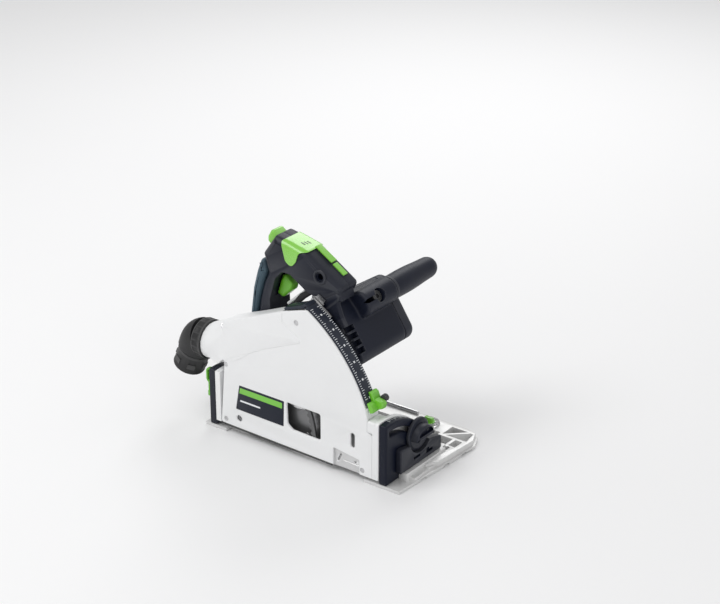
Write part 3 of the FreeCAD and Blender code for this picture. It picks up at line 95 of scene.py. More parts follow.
def surface(name, color, rough=0.45, metal=0.0, grain=900.0, depth=0.12, vary=0.05,
            edge=0.25, coat=0.0, soft_edge=0.35, patch=18.0, stretch=(1, 1, 1), **extra):
    """A moulded or cast surface: colour variation, fine grain, uneven gloss, worn edges."""
    material, tree, bsdf = new_material(name)
    place = tree.nodes.new("ShaderNodeTexCoord")
    mapping = add(tree, "ShaderNodeMapping", Scale=stretch)
    tree.links.new(place.outputs["Object"], mapping.inputs["Vector"])
    broad = add(tree, "ShaderNodeTexNoise", Scale=patch, Detail=4.0)
    fine = add(tree, "ShaderNodeTexNoise", Scale=grain, Detail=3.0, Roughness=0.6)
    for noise in (broad, fine):
        tree.links.new(mapping.outputs["Vector"], noise.inputs["Vector"])
    tone = ranged(tree, broad.outputs["Fac"], 0.3, 0.7, 0.0, 1.0)
    body = blend_colors(tree, tone, shade(color, 1 - vary), shade(color, 1 + vary))
    geometry = tree.nodes.new("ShaderNodeNewGeometry")
    worn = ranged(tree, geometry.outputs["Pointiness"], 0.505, 0.56, 0.0, edge)
    worn_color = tuple(c + (1 - c) * 0.35 for c in color[:3]) + (1.0,)
    body = blend_colors(tree, worn, body, worn_color)
    tree.links.new(body, bsdf.inputs["Base Color"])
    gloss = ranged(tree, fine.outputs["Fac"], 0.3, 0.7, rough - 0.05, rough + 0.06)
    tree.links.new(gloss, bsdf.inputs["Roughness"])
    bump = add(tree, "ShaderNodeBump", Strength=depth, Distance=0.0003)
    tree.links.new(fine.outputs["Fac"], bump.inputs["Height"])
    if soft_edge:
        bevel = tree.nodes.new("ShaderNodeBevel")
        bevel.samples = 4
        bevel.inputs["Radius"].default_value = soft_edge * MM
        tree.links.new(bevel.outputs["Normal"], bump.inputs["Normal"])
    tree.links.new(bump.outputs["Normal"], bsdf.inputs["Normal"])
    bsdf.inputs["Metallic"].default_value = metal
    bsdf.inputs["Coat Weight"].default_value = coat
    bsdf.inputs["Coat Roughness"].default_value = 0.25
    for key, value in extra.items():
        bsdf.inputs[key.replace("_", " ")].default_value = value
    return material


WHITE = surface("white_satin", (0.82, 0.825, 0.83), 0.42, grain=1400, depth=0.06, vary=0.012,
                edge=0.1, coat=0.15)
NAVY = surface("navy_shell", (0.0042, 0.0065, 0.017), 0.42, grain=1500, depth=0.28, vary=0.12,
               edge=0.10, Specular_IOR_Level=0.22)
SLATE = surface("motor_slate", (0.0070, 0.0095, 0.021), 0.46, grain=1600, depth=0.30,
                vary=0.10, edge=0.10, Specular_IOR_Level=0.26)
GRIP = surface("soft_grip_blue", (0.045, 0.085, 0.115), 0.60, grain=1100, depth=0.30, vary=0.10,
               edge=0.06)
GREEN = surface("bright_green", (0.150, 0.52, 0.016), 0.36, grain=1500, depth=0.07, vary=0.05,
                edge=0.10, coat=0.3)
# A paler, glossier copy of the green: painted highlight for the lit tops of the lever, tongue,
# inlay and lock button.
GREEN_HIGHLIT = surface("lever_green_painted_highlight", (0.210, 0.58, 0.045), 0.28, grain=1500, depth=0.06, vary=0.05,
                     edge=0.12, coat=0.6)
BLACK = surface("black_plastic", (0.007, 0.007, 0.009), 0.42, grain=1300, depth=0.18, vary=0.2,
                edge=0.12, Specular_IOR_Level=0.35)
RUBBER = surface("dark_rubber", (0.016, 0.016, 0.017), 0.52, grain=1000, depth=0.25, vary=0.15,
                 edge=0.12, Specular_IOR_Level=0.4)
CASTING = surface("pale_casting", (0.66, 0.66, 0.655), 0.40, metal=0.35, grain=700, depth=0.25,
                  vary=0.05, edge=0.25, patch=30)
SILVER = surface("silver_casting", (0.62, 0.62, 0.62), 0.33, metal=0.75, grain=700, depth=0.22,
                 vary=0.08, edge=0.35)
STEEL = surface("bright_steel", (0.60, 0.60, 0.61), 0.28, metal=1.0, grain=500, depth=0.10,
                vary=0.08, edge=0.3, stretch=(1, 6, 1))
DARK_STEEL = surface("black_steel", (0.030, 0.030, 0.033), 0.36, metal=0.6, grain=700,
                     depth=0.15, vary=0.2, edge=0.3)
COPPER = surface("turned_copper", (0.62, 0.30, 0.14), 0.3, metal=1.0, vary=0.1)
CIRCUIT = surface("circuit_green", (0.02, 0.11, 0.05), 0.4, vary=0.2)
LABEL = surface("label_navy", (0.008, 0.011, 0.022), 0.36, grain=2000, depth=0.04, vary=0.08,
                edge=0.0, Specular_IOR_Level=0.3)
SCALE = surface("scale_slate", (0.013, 0.018, 0.032), 0.42, grain=1500, depth=0.10, vary=0.08,
                edge=0.05, Specular_IOR_Level=0.35)
# Blade steel darkened well below the bright steel: painted shade for the blade inside the guard.
SHADED_BLADE_STEEL = surface("blade_steel_painted_shade", (0.16, 0.16, 0.165), 0.38, metal=0.9, grain=500, depth=0.10,
                      vary=0.10, edge=0.25)
# Near-black sheet for the inside of the guard: painted shade.
INSIDE_SHADE = surface("housing_inside_painted_shade", (0.035, 0.036, 0.038), 0.55, vary=0.1, edge=0.0)
PRINT = surface("white_print", (0.78, 0.80, 0.82), 0.45, vary=0.03, edge=0.0, soft_edge=0)
DOME = surface("clear_dome", (0.72, 0.71, 0.73), 0.16, vary=0.03, depth=0.02,
               Transmission_Weight=0.72, IOR=1.3)
FLOOR = surface("floor_paper", (0.88, 0.88, 0.885), 0.75, grain=120, depth=0.01, vary=0.004,
                edge=0.0, soft_edge=0, patch=2)

SLOT_LOOKS = {
    "pale_casting": CASTING, "dark_casting": NAVY, "white_shell": WHITE, "label": LABEL,
    "scale": SCALE, "navy_shell": NAVY, "motor_shell": SLATE, "soft_grip": GRIP,
    "green": GREEN, "black_plastic": BLACK, "rubber": RUBBER, "circuit": CIRCUIT,
    "steel": STEEL, "dark_steel": DARK_STEEL, "copper": COPPER,
}
LOOK_SLOTS = {material.name: slot for slot, material in SLOT_LOOKS.items()}
LOOK_SLOTS.update({"navy_shell": "navy_shell", "lever_green_painted_highlight": "green", "white_print": "scale",
                   "silver_casting": "pale_casting", "clear_dome": "white_shell",
                   "housing_inside_painted_shade": "black_plastic", "blade_steel_painted_shade": "steel"})


def dress_cad_nodes():
    """Give every CAD node the look of its material slot."""
    slots = {part["node"]: part["material_slot"] for part in frame["record"]["subparts"]}
    for name, thing in NODES.items():
        look = SLOT_LOOKS[slots[name]]
        for slot in thing.material_slots:
            slot.material = look
        if not thing.material_slots:
            thing.data.materials.append(look)
    # The blade gets the darkened steel, which is painted shade for the inside of the guard.
    for slot in NODES["blade"].material_slots:
        slot.material = SHADED_BLADE_STEEL


# ---------------------------------------------------------------- mesh building

BODY_OF = {node: body for body, nodes in frame["record"]["behaviour"]["bodies"].items()
           for node in nodes}


def settle(thing, angle=32):
    """Smooth faces, with sharp edges above an angle."""
    mesh = thing.data
    for face in mesh.polygons:
        face.use_smooth = True
    mesh.set_sharp_from_angle(angle=math.radians(angle))
    return thing


def piece(name, bm, look, node=None, body=None, head=False, angle=32, replace=True):
    """Turn a bmesh drawn in millimetres into a piece that rides with its CAD body."""
    bmesh.ops.recalc_face_normals(bm, faces=bm.faces)
    if head:
        bm.transform(HEAD_MM)
    bm.transform(Matrix.Scale(MM, 4))
    mesh = bpy.data.meshes.new(name)
    bm.to_mesh(mesh)
    bm.free()
    thing = bpy.data.objects.new(name, mesh)
    bpy.context.scene.collection.objects.link(thing)
    mesh.materials.append(look)
    settle(thing, angle)
    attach(thing, body or BODY_OF[node])
    if node and replace:
        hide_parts(node)
    return thing


HEAD_MM = Matrix.Translation((0, 0, PIVOT_Z)) @ Matrix.Rotation(RAISED, 4, (0, -1, 0))


def round_outline(points, radius=0.0, step=14):
    """A closed outline with arcs at its corners; a corner may carry its own radius."""
    loop = []
    for i, point in enumerate(points):
        r = point[2] if len(point) > 2 else radius
        here = Vector(point[:2])
        back = Vector(points[i - 1][:2]) - here
        ahead = Vector(points[(i + 1) % len(points)][:2]) - here
        corner = back.angle(ahead)
        if r <= 0 or corner > math.radians(178):
            loop.append(here)
            continue
        reach = min(r / math.tan(corner / 2), back.length * 0.49, ahead.length * 0.49)
        r = reach * math.tan(corner / 2)
        centre = here + (back.normalized() + ahead.normalized()).normalized() * (
            r / math.sin(corner / 2))
        first = here + back.normalized() * reach - centre
        last = here + ahead.normalized() * reach - centre
        begin = math.atan2(first.y, first.x)
        sweep = math.atan2(last.y, last.x) - begin
        sweep = (sweep + math.pi) % (2 * math.pi) - math.pi
        steps = max(2, math.ceil(abs(math.degrees(sweep)) / step))
        for k in range(steps + 1):
            turn = begin + sweep * k / steps
            loop.append(centre + Vector((math.cos(turn), math.sin(turn))) * r)
    return loop


BRICK = ((0, 1, 2, 3), (4, 5, 6, 7), (0, 1, 5, 4), (1, 2, 6, 5), (2, 3, 7, 6), (3, 0, 4, 7))


def brick(bm, places):
    """A block from its eight corners: four of one face, then the four opposite."""
    corners = [bm.verts.new(place) for place in places]
    for face in BRICK:
        bm.faces.new([corners[i] for i in face])


def arc(radius, first, last, count, centre=(0, 0)):
    """Points along an arc between two angles in degrees; a pair of radii makes an ellipse."""
    across, up = radius if isinstance(radius, tuple) else (radius, radius)
    points = []
    for i in range(count + 1):
        turn = math.radians(first + (last - first) * i / count)
        points.append((centre[0] + across * math.cos(turn), centre[1] + up * math.sin(turn)))
    return points


def circle(centre, radius, count=40):
    return [Vector((centre[0] + radius * math.cos(2 * math.pi * i / count),
                    centre[1] + radius * math.sin(2 * math.pi * i / count)))
            for i in range(count)]


def area(loop):
    return sum(a.x * b.y - b.x * a.y for a, b in zip(loop, loop[1:] + loop[:1])) / 2


def offset(loop, distance):
    """Move an outline to its left by a distance."""
    if distance == 0:
        return list(loop)
    moved = []
    for i, here in enumerate(loop):
        a = (here - loop[i - 1]).normalized()
        b = (loop[(i + 1) % len(loop)] - here).normalized()
        normal = Vector((-a.y, a.x)) + Vector((-b.y, b.x))
        if normal.length < 1e-6:
            moved.append(here)
            continue
        normal.normalize()
        spread = max(0.5, normal.dot(Vector((-a.y, a.x))))
        moved.append(here + normal * distance / spread)
    return moved


def lay(plane, point, level):
    """A point of an outline placed in space, at a level across its plane."""
    if plane == "xz":
        return Vector((point.x, level, point.y))
    if plane == "yz":
        return Vector((level, point.x, point.y))
    return Vector((point.x, point.y, level))


HOLE_RIM = 1.2     # the most that the edge of a hole is rounded


def slab_mesh(plane, outer, start, end, round_start=0.0, round_end=0.0, holes=(), steps=5,
              bm=None):
    """A plate with rounded rims: outline loops swept between two levels."""
    outer = outer if area(outer) > 0 else outer[::-1]
    holes = [hole if area(hole) < 0 else hole[::-1] for hole in holes]
    layers = []
    for k in range(steps + 1 if round_start else 1):
        turn = math.pi / 2 * k / steps
        layers.append((start + round_start * (1 - math.cos(turn)),
                       round_start * (1 - math.sin(turn))))
    for k in range(steps + 1 if round_end else 1):
        turn = math.pi / 2 * (steps - k) / steps if round_end else 0
        layers.append((end - round_end * (1 - math.cos(turn)),
                       round_end * (1 - math.sin(turn))))
    bm = bm or bmesh.new()
    rings = []
    for level, inset in layers:
        ring = []
        for loop in [outer] + holes:
            moved = offset(loop, inset if loop is outer else min(inset, HOLE_RIM))
            ring.append([bm.verts.new(lay(plane, point, level)) for point in moved])
        rings.append(ring)
    for lower, upper in zip(rings, rings[1:]):
        for a, b in zip(lower, upper):
            for i in range(len(a)):
                j = (i + 1) % len(a)
                bm.faces.new((a[i], a[j], b[j], b[i]))
    for ring in (rings[0], rings[-1]):
        flat = [v for loop in ring for v in loop]
        loops = [[lay("xy", Vector(pick(plane, v.co)), 0) for v in loop] for loop in ring]
        for triangle in tessellate_polygon(loops):
            try:
                bm.faces.new([flat[k] for k in triangle])
            except ValueError:
                pass
    return bm


def pick(plane, co):
    """The outline coordinates of a point in space."""
    if plane == "xz":
        return (co.x, co.z)
    if plane == "yz":
        return (co.y, co.z)
    return (co.x, co.y)


def lathe_mesh(profile, centre, axis, count=64, bm=None, ripple=None):
    """A turned form: (radius, distance along the axis) pairs spun about the axis."""
    bm = bm or bmesh.new()
    axis = Vector(axis).normalized()
    side = axis.orthogonal().normalized()
    other = axis.cross(side)
    rings = []
    for radius, reach in profile:
        spot = Vector(centre) + axis * reach
        if radius < 1e-6:
            rings.append([bm.verts.new(spot)])
            continue
        ring = []
        for i in range(count):
            turn = 2 * math.pi * i / count
            r = radius + (ripple(turn, reach) if ripple else 0)
            ring.append(bm.verts.new(spot + (side * math.cos(turn) + other * math.sin(turn)) * r))
        rings.append(ring)
    for a, b in zip(rings, rings[1:]):
        for i in range(count):
            j = (i + 1) % count
            if len(a) == 1 and len(b) == 1:
                continue
            if len(a) == 1:
                bm.faces.new((a[0], b[j], b[i]))
            elif len(b) == 1:
                bm.faces.new((a[i], a[j], b[0]))
            else:
                bm.faces.new((a[i], a[j], b[j], b[i]))
    for ring in (rings[0], rings[-1]):
        if len(ring) > 1 and profile[0] != profile[-1]:
            bm.faces.new(ring)
    if profile[0] == profile[-1] and len(rings[0]) > 1:
        bmesh.ops.remove_doubles(bm, verts=rings[0] + rings[-1], dist=1e-5)
    return bm


def loft_mesh(sections, closed=True, bm=None):
    """Skin over a row of rings with equal point counts, capped at both ends."""
    bm = bm or bmesh.new()
    rings = [[bm.verts.new(point) for point in section] for section in sections]
    for a, b in zip(rings, rings[1:]):
        for i in range(len(a)):
            j = (i + 1) % len(a)
            bm.faces.new((a[i], a[j], b[j], b[i]))
    if closed:
        bm.faces.new(rings[0])
        bm.faces.new(rings[-1])
    return bm


def apply_modifiers(thing):
    """Bake the modifiers of a piece into its mesh."""
    graph = bpy.context.evaluated_depsgraph_get()
    baked = bpy.data.meshes.new_from_object(thing.evaluated_get(graph))
    thing.modifiers.clear()
    thing.data = baked
    return thing


def carve(thing, cutter, mode="DIFFERENCE", own_folds=False):
    """Cut (or join) another mesh drawn in row metres out of a piece and drop the cutter."""
    bpy.context.view_layer.update()
    modifier = thing.modifiers.new("carve", "BOOLEAN")
    modifier.operation = mode
    modifier.solver = "EXACT"
    modifier.use_self = own_folds
    modifier.object = cutter
    apply_modifiers(thing)
    bpy.data.objects.remove(cutter)
    return settle(thing)


def tool(bm, head=False):
    """A loose helper mesh for carving."""
    bmesh.ops.recalc_face_normals(bm, faces=bm.faces)
    if head:
        bm.transform(HEAD_MM)
    bm.transform(Matrix.Scale(MM, 4))
    mesh = bpy.data.meshes.new("tool")
    bm.to_mesh(mesh)
    bm.free()
    thing = bpy.data.objects.new("tool", mesh)
    bpy.context.scene.collection.objects.link(thing)
    return thing


def melt(thing, voxel=1.2, rounds=8):
    """Run the forms of a piece together and round every edge a little."""
    modifier = thing.modifiers.new("remesh", "REMESH")
    modifier.mode = "VOXEL"
    modifier.voxel_size = voxel * MM
    smooth = thing.modifiers.new("smooth", "SMOOTH")
    smooth.factor = 0.5
    smooth.iterations = rounds
    apply_modifiers(thing)
    return settle(thing, 60)


def refine(node, width=0.6, segments=2, look=None, angle=30):
    """A copy of a CAD node with real rounded edges, standing in for the node."""
    source = NODES[node]
    bm = bmesh.new()
    bm.from_mesh(source.data)
    bm.transform(Matrix.Scale(1 / MM, 4))
    bmesh.ops.remove_doubles(bm, verts=bm.verts, dist=1e-3)
    bmesh.ops.dissolve_limit(bm, angle_limit=math.radians(1.0), verts=bm.verts, edges=bm.edges)
    thing = piece(node + "_form", bm, look or source.data.materials[0], node)
    bevel = thing.modifiers.new("bevel", "BEVEL")
    bevel.width = width * MM
    bevel.segments = segments
    bevel.limit_method = "ANGLE"
    bevel.angle_limit = math.radians(angle)
    bevel.use_clamp_overlap = True
    bevel.harden_normals = False
    apply_modifiers(thing)
    return settle(thing, 40)


# ---------------------------------------------------------------- guard

WINDOW = [(84, 36, 2), (126, 35, 4), (126, 70, 3), (75, 70.5, 2), (76, 42, 5)]
LABEL_EDGE = [(-4.6, 37.1), (70.3, 36.2), (71.6, 70.8), (1.7, 71.3)]
COVER_SCREWS = [(-19.0, 94.0), (-20.6, 19.0), (92.0, 180.0), (188.0, 15.5)]
COVER_Y = -12.0
COVER_WALL = 2.5
SCALE_RADIUS = 207.0
PLUNGE_AXLE = (0, PIVOT_Z)
PORT_Y, PORT_Z = 13, 106


def rim_band(inner, outer, first, last, count):
    """Outline of a curved strip about the plunge axle, in the side view."""
    return [Vector(point) for point in arc(outer, first, last, count, PLUNGE_AXLE)
            + arc(inner, last, first, count, PLUNGE_AXLE)]


def guard_cover():
    """White side cover with its window, slot, foot notch, label recess and screw seats."""
    rim = arc(205, 20.2, 58.4, 26, PLUNGE_AXLE)
    edge = [(-29, 12, 3), (202, 8, 1.5), (202, 64.5, 1), (195, 68, 1.5), (195, 84, 2)]
    edge += rim
    edge += [(100, 198, 4), (71, 189, 4), (-22, 150, 4), (-22, 88, 1)]
    outer = round_outline(edge)
    upright_slot = round_outline([(170.5, 41), (176.5, 41), (176.5, 60), (170.5, 60)], 2.9)
    holes = [round_outline(WINDOW), circle(PLUNGE_AXLE, 4.2, 20), upright_slot]
    bm = slab_mesh("xz", outer, COVER_Y, COVER_Y + COVER_WALL, 1.4, 0, holes)
    cover = piece("cover_panel", bm, WHITE, "guard_cover")
    notch = round_outline([(145, -4), (184, -4), (184, 28, 2), (145, 33, 2)])
    carve(cover, tool(slab_mesh("xz", notch, COVER_Y - 3, COVER_Y + 6)), own_folds=True)
    recess = round_outline(LABEL_EDGE, 1.0)
    carve(cover, tool(slab_mesh("xz", recess, COVER_Y - 3, COVER_Y + 0.5)))
    bm = bmesh.new()
    for x, z in COVER_SCREWS:
        lathe_mesh([(0, -3), (3.3, -3), (3.3, 1.2), (0, 1.2)], (x, COVER_Y, z), (0, 1, 0), 28,
                   bm)
    carve(cover, tool(bm))


def section(x, near, far, low, high, near_round, far_round, count=9):
    """A ring of the duct at x: straight sides with elliptical corners at the top."""
    ring = [Vector((x, near, low))]
    for k in range(count + 1):
        turn = math.pi / 2 * k / count
        ring.append(Vector((x, near + near_round * (1 - math.cos(turn)),
                            high - near_round * (1 - math.sin(turn)))))
    for k in range(count + 1):
        turn = math.pi / 2 * k / count
        ring.append(Vector((x, far - far_round * (1 - math.sin(turn)),
                            high - far_round * (1 - math.cos(turn)))))
    ring.append(Vector((x, far, low)))
    return ring


def ease(t):
    t = max(0.0, min(1.0, t))
    return t * t * (3 - 2 * t)


def mix(a, b, t):
    return a + (b - a) * t


def port_ring(x, low, high, half_width, count):
    """A round ring of the duct with the same point order as section()."""
    ring = []
    for k in range(count):
        turn = math.radians(225) - 2 * math.pi * (k + 0.5) / count
        ring.append(Vector((x, PORT_Y + half_width * math.cos(turn),
                            (low + high) / 2 + (high - low) / 2 * math.sin(turn))))
    return ring


def duct_neck():
    """The white neck that runs from the round port into the flat guard."""
    rings = []
    stations = [-61, -59.5, -57, -54, -50, -46] + [-46 + 117 * k / 26 for k in range(1, 27)]
    for x in stations:
        top = 189 + (x - 71) * 39 / 93 if x > -22 else 150 + (x + 22) * 21 / 39
        low = mix(84, 99, ease((x + 36) / 12)) + mix(0, 51, ease((x + 20) / 90))
        far = mix(34, 12, ease((x + 46) / 95))
        near_round = mix(22, 3.0, ease((x + 56) / 100))
        far_round = mix(20, 4, ease((x + 46) / 100))
        flat = section(x, COVER_Y - 0.35, far, low, top + 0.4, near_round, far_round)
        round_ring = port_ring(x, 83, max(129, top), 23 + 2 * ease((x + 61) / 15), 22)
        share = ease((x + 58) / 44)
        rings.append([a.lerp(b, share) for a, b in zip(round_ring, flat)])
    neck = piece("duct_neck", loft_mesh(rings), WHITE, "dust_port", angle=50)
    bore = lathe_mesh([(0, -20), (20, -20), (20, 30), (0, 30)], (-50, PORT_Y, PORT_Z),
                      (1, 0, 0), 48)
    carve(neck, tool(bore))
    spot, inward = (-26.0, -6.9, 143.3), (0, 1, -1)
    seat = lathe_mesh([(0, -4), (4.1, -4), (3.9, 1.4), (0, 1.4)], spot, inward, 32)
    carve(neck, tool(seat))
    head = [(0, 0.9), (1.2, 0.9), (1.5, 0.2), (2.7, 0.2), (3.3, 0.8), (3.3, 1.8), (0, 1.8)]
    piece("neck_screw", lathe_mesh(head, spot, inward, 32), STEEL, "dust_port", replace=False)


def window_backing():
    """Inner wall behind the service window, darkened as painted shade for the inside of the
    guard, with the run of the spindle left open.
    """
    edge = round_outline([(68, 29), (132, 29), (132, 78), (68, 78)], 4)
    wall = piece("window_backing", slab_mesh("xz", edge, 8.3, 8.9), INSIDE_SHADE, "guard_housing",
                 replace=False)
    carve(wall, tool(slab_mesh("xz", rim_band(84.5, 121.5, -3, 36, 24), 5, 12)))
    notch = round_outline([(144.4, 8.6), (186, 8.4), (186, 27.4), (144.4, 32.6)], 1)
    guide = piece("notch_guide", slab_mesh("xz", notch, -9.48, -8.7, 0.2), SILVER,
                  "guard_housing", replace=False)
    slots = bmesh.new()
    slab_mesh("xz", round_outline([(148.5, 14), (151.5, 14), (157, 26), (154, 26.4)], 0.8), -12,
              -5, bm=slots)
    slab_mesh("xz", round_outline([(174.5, 20.5), (181, 20.2), (181, 22.6), (174.5, 22.9)], 0.8),
              -12, -5, bm=slots)
    carve(guide, tool(slots))
    rail = slab_mesh("xz", round_outline([(158, 17), (186, 16.4), (186, 18.2), (158, 18.8)], 0.5),
                     -10.2, -9.2, 0.4)
    piece("notch_rail", rail, SILVER, "guard_housing", replace=False)


def facet():
    """A slightly raised field of the cover with soft edges, beside the neck."""
    edge = round_outline([(-22.5, 97), (41, 131), (101, 157), (58, 182), (-22.5, 148)], 3)
    bm = slab_mesh("xz", edge, COVER_Y - 0.45, COVER_Y + 1, 0.5, 0, steps=3)
    piece("cover_facet", bm, WHITE, "guard_cover", replace=False)


def label():
    """Dark label field with a generic stripe and bar."""
    edge = round_outline([(-4.3, 37.4), (70.1, 36.5), (71.4, 70.6), (1.9, 71.1)], 0.8)
    bm = slab_mesh("xz", edge, COVER_Y + 0.05, COVER_Y + 0.6, 0.25, 0, steps=2)
    piece("label_form", bm, LABEL, "label_plate")
    stripe = round_outline([(1.6, 60.6), (68.2, 60.0), (68.6, 67.6), (3.0, 68.1)], 0.5)
    bm = slab_mesh("xz", stripe, COVER_Y - 0.06, COVER_Y + 0.3)
    piece("label_stripe", bm, GREEN, "label_plate", replace=False)
    thin = round_outline([(2.6, 49.4), (34, 49.1), (34.2, 51.4), (3.0, 51.7)], 0.3)
    bm = slab_mesh("xz", thin, COVER_Y - 0.05, COVER_Y + 0.3)
    piece("label_line", bm, PRINT, "label_plate", replace=False)


def screws():
    """Cover screws with a six-lobed socket."""
    bm = bmesh.new()
    for x, z in COVER_SCREWS:
        spot = (x, COVER_Y + 0.2, z)
        profile = [(0, 0.5), (1.3, 0.5), (1.5, 0.05), (2.4, 0.0), (2.95, 0.3), (2.95, 1.0),
                   (1.5, 1.0), (1.5, 9.6), (0, 9.6)]
        lathe_mesh(profile, spot, (0, 1, 0), 30, bm, star)
    piece("cover_screw_heads", bm, STEEL, "cover_screws")


def star(turn, reach):
    """Ripple that turns the bottom of a screw's socket into a star."""
    return 0.22 * math.cos(6 * turn) if 0.4 < reach < 0.6 else 0


def depth_scale():
    """Curved strip with white ticks on both edges."""
    near, far = -9.3, 9.4
    band = rim_band(203.3, SCALE_RADIUS, 21.6, 60, 40)
    bm = slab_mesh("xz", band, near, far, 0.6, 0.6, steps=3)
    piece("scale_strip", bm, SCALE, "depth_scale", angle=40)
    cap = round_outline([(72.5, 189.6), (100, 199.0), (106, 201), (106, 204.2),
                         (102, 205.6), (96.5, 202.4), (71.5, 193.0)], 0.8)
    piece("scale_cap", slab_mesh("xz", cap, near, far, 1.2, 1.2), SCALE, "depth_scale",
          replace=False)
    bm = bmesh.new()
    first, pitch, count = 23.5, 0.775, 45
    for k in range(count):
        angle = first + k * pitch
        length = 4.6 if k % 4 == 0 else 2.6
        for side, sign in ((near + 0.8, 1), (far - 0.8, -1)):
            tick_box(bm, angle, side, side + sign * length, 0.7)
        if k % 8 == 0:
            tick_box(bm, angle + 0.1, -1.2, 1.4, 2.4)
    piece("scale_marks", bm, PRINT, "depth_scale", replace=False)


def tick_box(bm, angle, y0, y1, width):
    """A thin printed mark on the outside of the scale."""
    turn = math.radians(angle)
    out = Vector((math.cos(turn), 0, math.sin(turn)))
    along = Vector((-math.sin(turn), 0, math.cos(turn)))
    base = Vector((0, 0, PIVOT_Z))
    brick(bm, [base + out * r + along * (s * width / 2) + Vector((0, y, 0))
               for r in (SCALE_RADIUS - 0.2, SCALE_RADIUS + 0.16)
               for y, s in ((y0, -1), (y1, -1), (y1, 1), (y0, 1))])


def depth_stop():
    """Green slider on the scale with its finger grip, and the small black knob."""
    def on_arc(items):
        return [Vector((r * math.cos(math.radians(a)), PIVOT_Z + r * math.sin(math.radians(a))))
                for a, r in items]
    foot = on_arc([(18.8, 207.4), (20.6, 207.35), (22.2, 207.4), (22.2, 209.6), (21.4, 212.4),
                   (19.8, 213.6), (18.8, 212)])
    bm = slab_mesh("xz", foot, -9.0, 13.2, 1.0, 1.0)
    piece("depth_stop_form", bm, GREEN, "depth_stop")
    stem = on_arc([(21.8, 207.4), (23.6, 207.35), (25.2, 207.4), (25.2, 210.0), (24.4, 212.4),
                   (21.8, 212.4)])
    bm = slab_mesh("xz", stem, -0.5, 13.2, 1.0, 1.0)
    piece("depth_stop_stem", bm, GREEN, "depth_stop", replace=False)
    finger = on_arc([(19.0, 210), (22.4, 210), (22.6, 214), (21.4, 221.6), (20.4, 222.9),
                     (19.2, 220)])
    bm = slab_mesh("xz", finger, 0.2, 8.8, 1.2, 1.2)
    piece("depth_stop_finger", bm, GREEN, "depth_stop", replace=False)
    spot = on_arc([(21.8, 218.0)])[0]
    profile = [(0, 9.1), (3.9, 9.1), (4.3, 9.6), (4.3, 15.4), (3.4, 16.4), (0, 16.4)]
    bm = lathe_mesh(profile, (spot.x, 0, spot.y), (0, 1, 0), 70, None,
                    lambda turn, reach: 0.2 * math.cos(14 * turn))
    piece("stop_knob_form", bm, BLACK, "stop_knob")


# ---------------------------------------------------------------- quadrants and clamps

FRONT_SEGMENT = 83
REAR_SEGMENT = 80
BLOCK_FACE = 222.5
CLAMP_LEAN = math.radians(44)
CLAMP = (70 * math.sin(CLAMP_LEAN), 70 * math.cos(CLAMP_LEAN))


def quadrant(node, rear_x, radius):
    """Upright segment about the tilt axis, with the arc slot of its clamp stud."""
    side, foot, thickness = -11, 4, 11
    corner = math.sqrt(radius ** 2 - foot ** 2)
    top = math.sqrt(radius ** 2 - side ** 2)
    first = math.degrees(math.atan2(foot, corner)) + 2
    last = math.degrees(math.atan2(top, side)) - 3
    edge = [(side, foot, 2), (corner, foot, 2)] + arc(radius, first, last, 20)
    edge.append((side, top, 4))
    middle, half_width = radius - 13, 3.4
    slot = [Vector(point) for point in arc(middle + half_width, 45, 93.5, 16)
            + arc(middle - half_width, 93.5, 45, 16)]
    bm = slab_mesh("yz", round_outline(edge), rear_x, rear_x + thickness, 1.6, 2.4, [slot])
    piece(node + "_form", bm, NAVY, node)


def front_marks():
    """White angle ticks on the rim of the front quadrant."""
    bm = bmesh.new()
    for k in range(10):
        turn = math.radians(88 - 2.6 * k)
        y, z = FRONT_SEGMENT * math.cos(turn), FRONT_SEGMENT * math.sin(turn)
        start = 212.2
        end = start + (5.0 if k % 3 == 0 else 3.0)
        brick(bm, [(x, y + s * 0.3, z - s * 0.02 + lift) for lift in (-0.05, 0.12)
                   for x, s in ((start, -1), (end, -1), (end, 1), (start, 1))])
    piece("angle_marks", bm, PRINT, "front_quadrant", replace=False)


def front_bracket():
    """White end of the guard that carries it on the front quadrant."""
    toe = [(COVER_Y, 8, 1.5), (-9.4, 8, 0.4), (-9.4, 11, 0.4)]
    edge = toe + [(62, 11, 3)] + arc(84, 41, 91, 12) + [(COVER_Y, 83, 5)]
    bm = slab_mesh("yz", round_outline(edge), 205, 210.7, 0.8, 1.2)
    shell = piece("front_bracket_form", bm, WHITE, "front_bracket")
    edge = toe + [(13, 11, 2), (13, 82.5, 2), (COVER_Y, 83, 3)]
    block = tool(slab_mesh("yz", round_outline(edge), 202.3, 205.6, 0.2, 0))
    carve(shell, block, "UNION")
    upper = tool(slab_mesh("yz", round_outline([(COVER_Y, 68.5, 0.6), (10, 68.5),
                                                (10, 82.5, 2), (COVER_Y, 83, 3)]),
                           195.3, 203, 0.2, 0))
    carve(shell, upper, "UNION")
    lower = tool(slab_mesh("yz", round_outline([(-9.2, 11), (13, 11), (13, 82), (-9.2, 82)]),
                           194, 204, 0, 0))
    carve(shell, lower, "UNION")


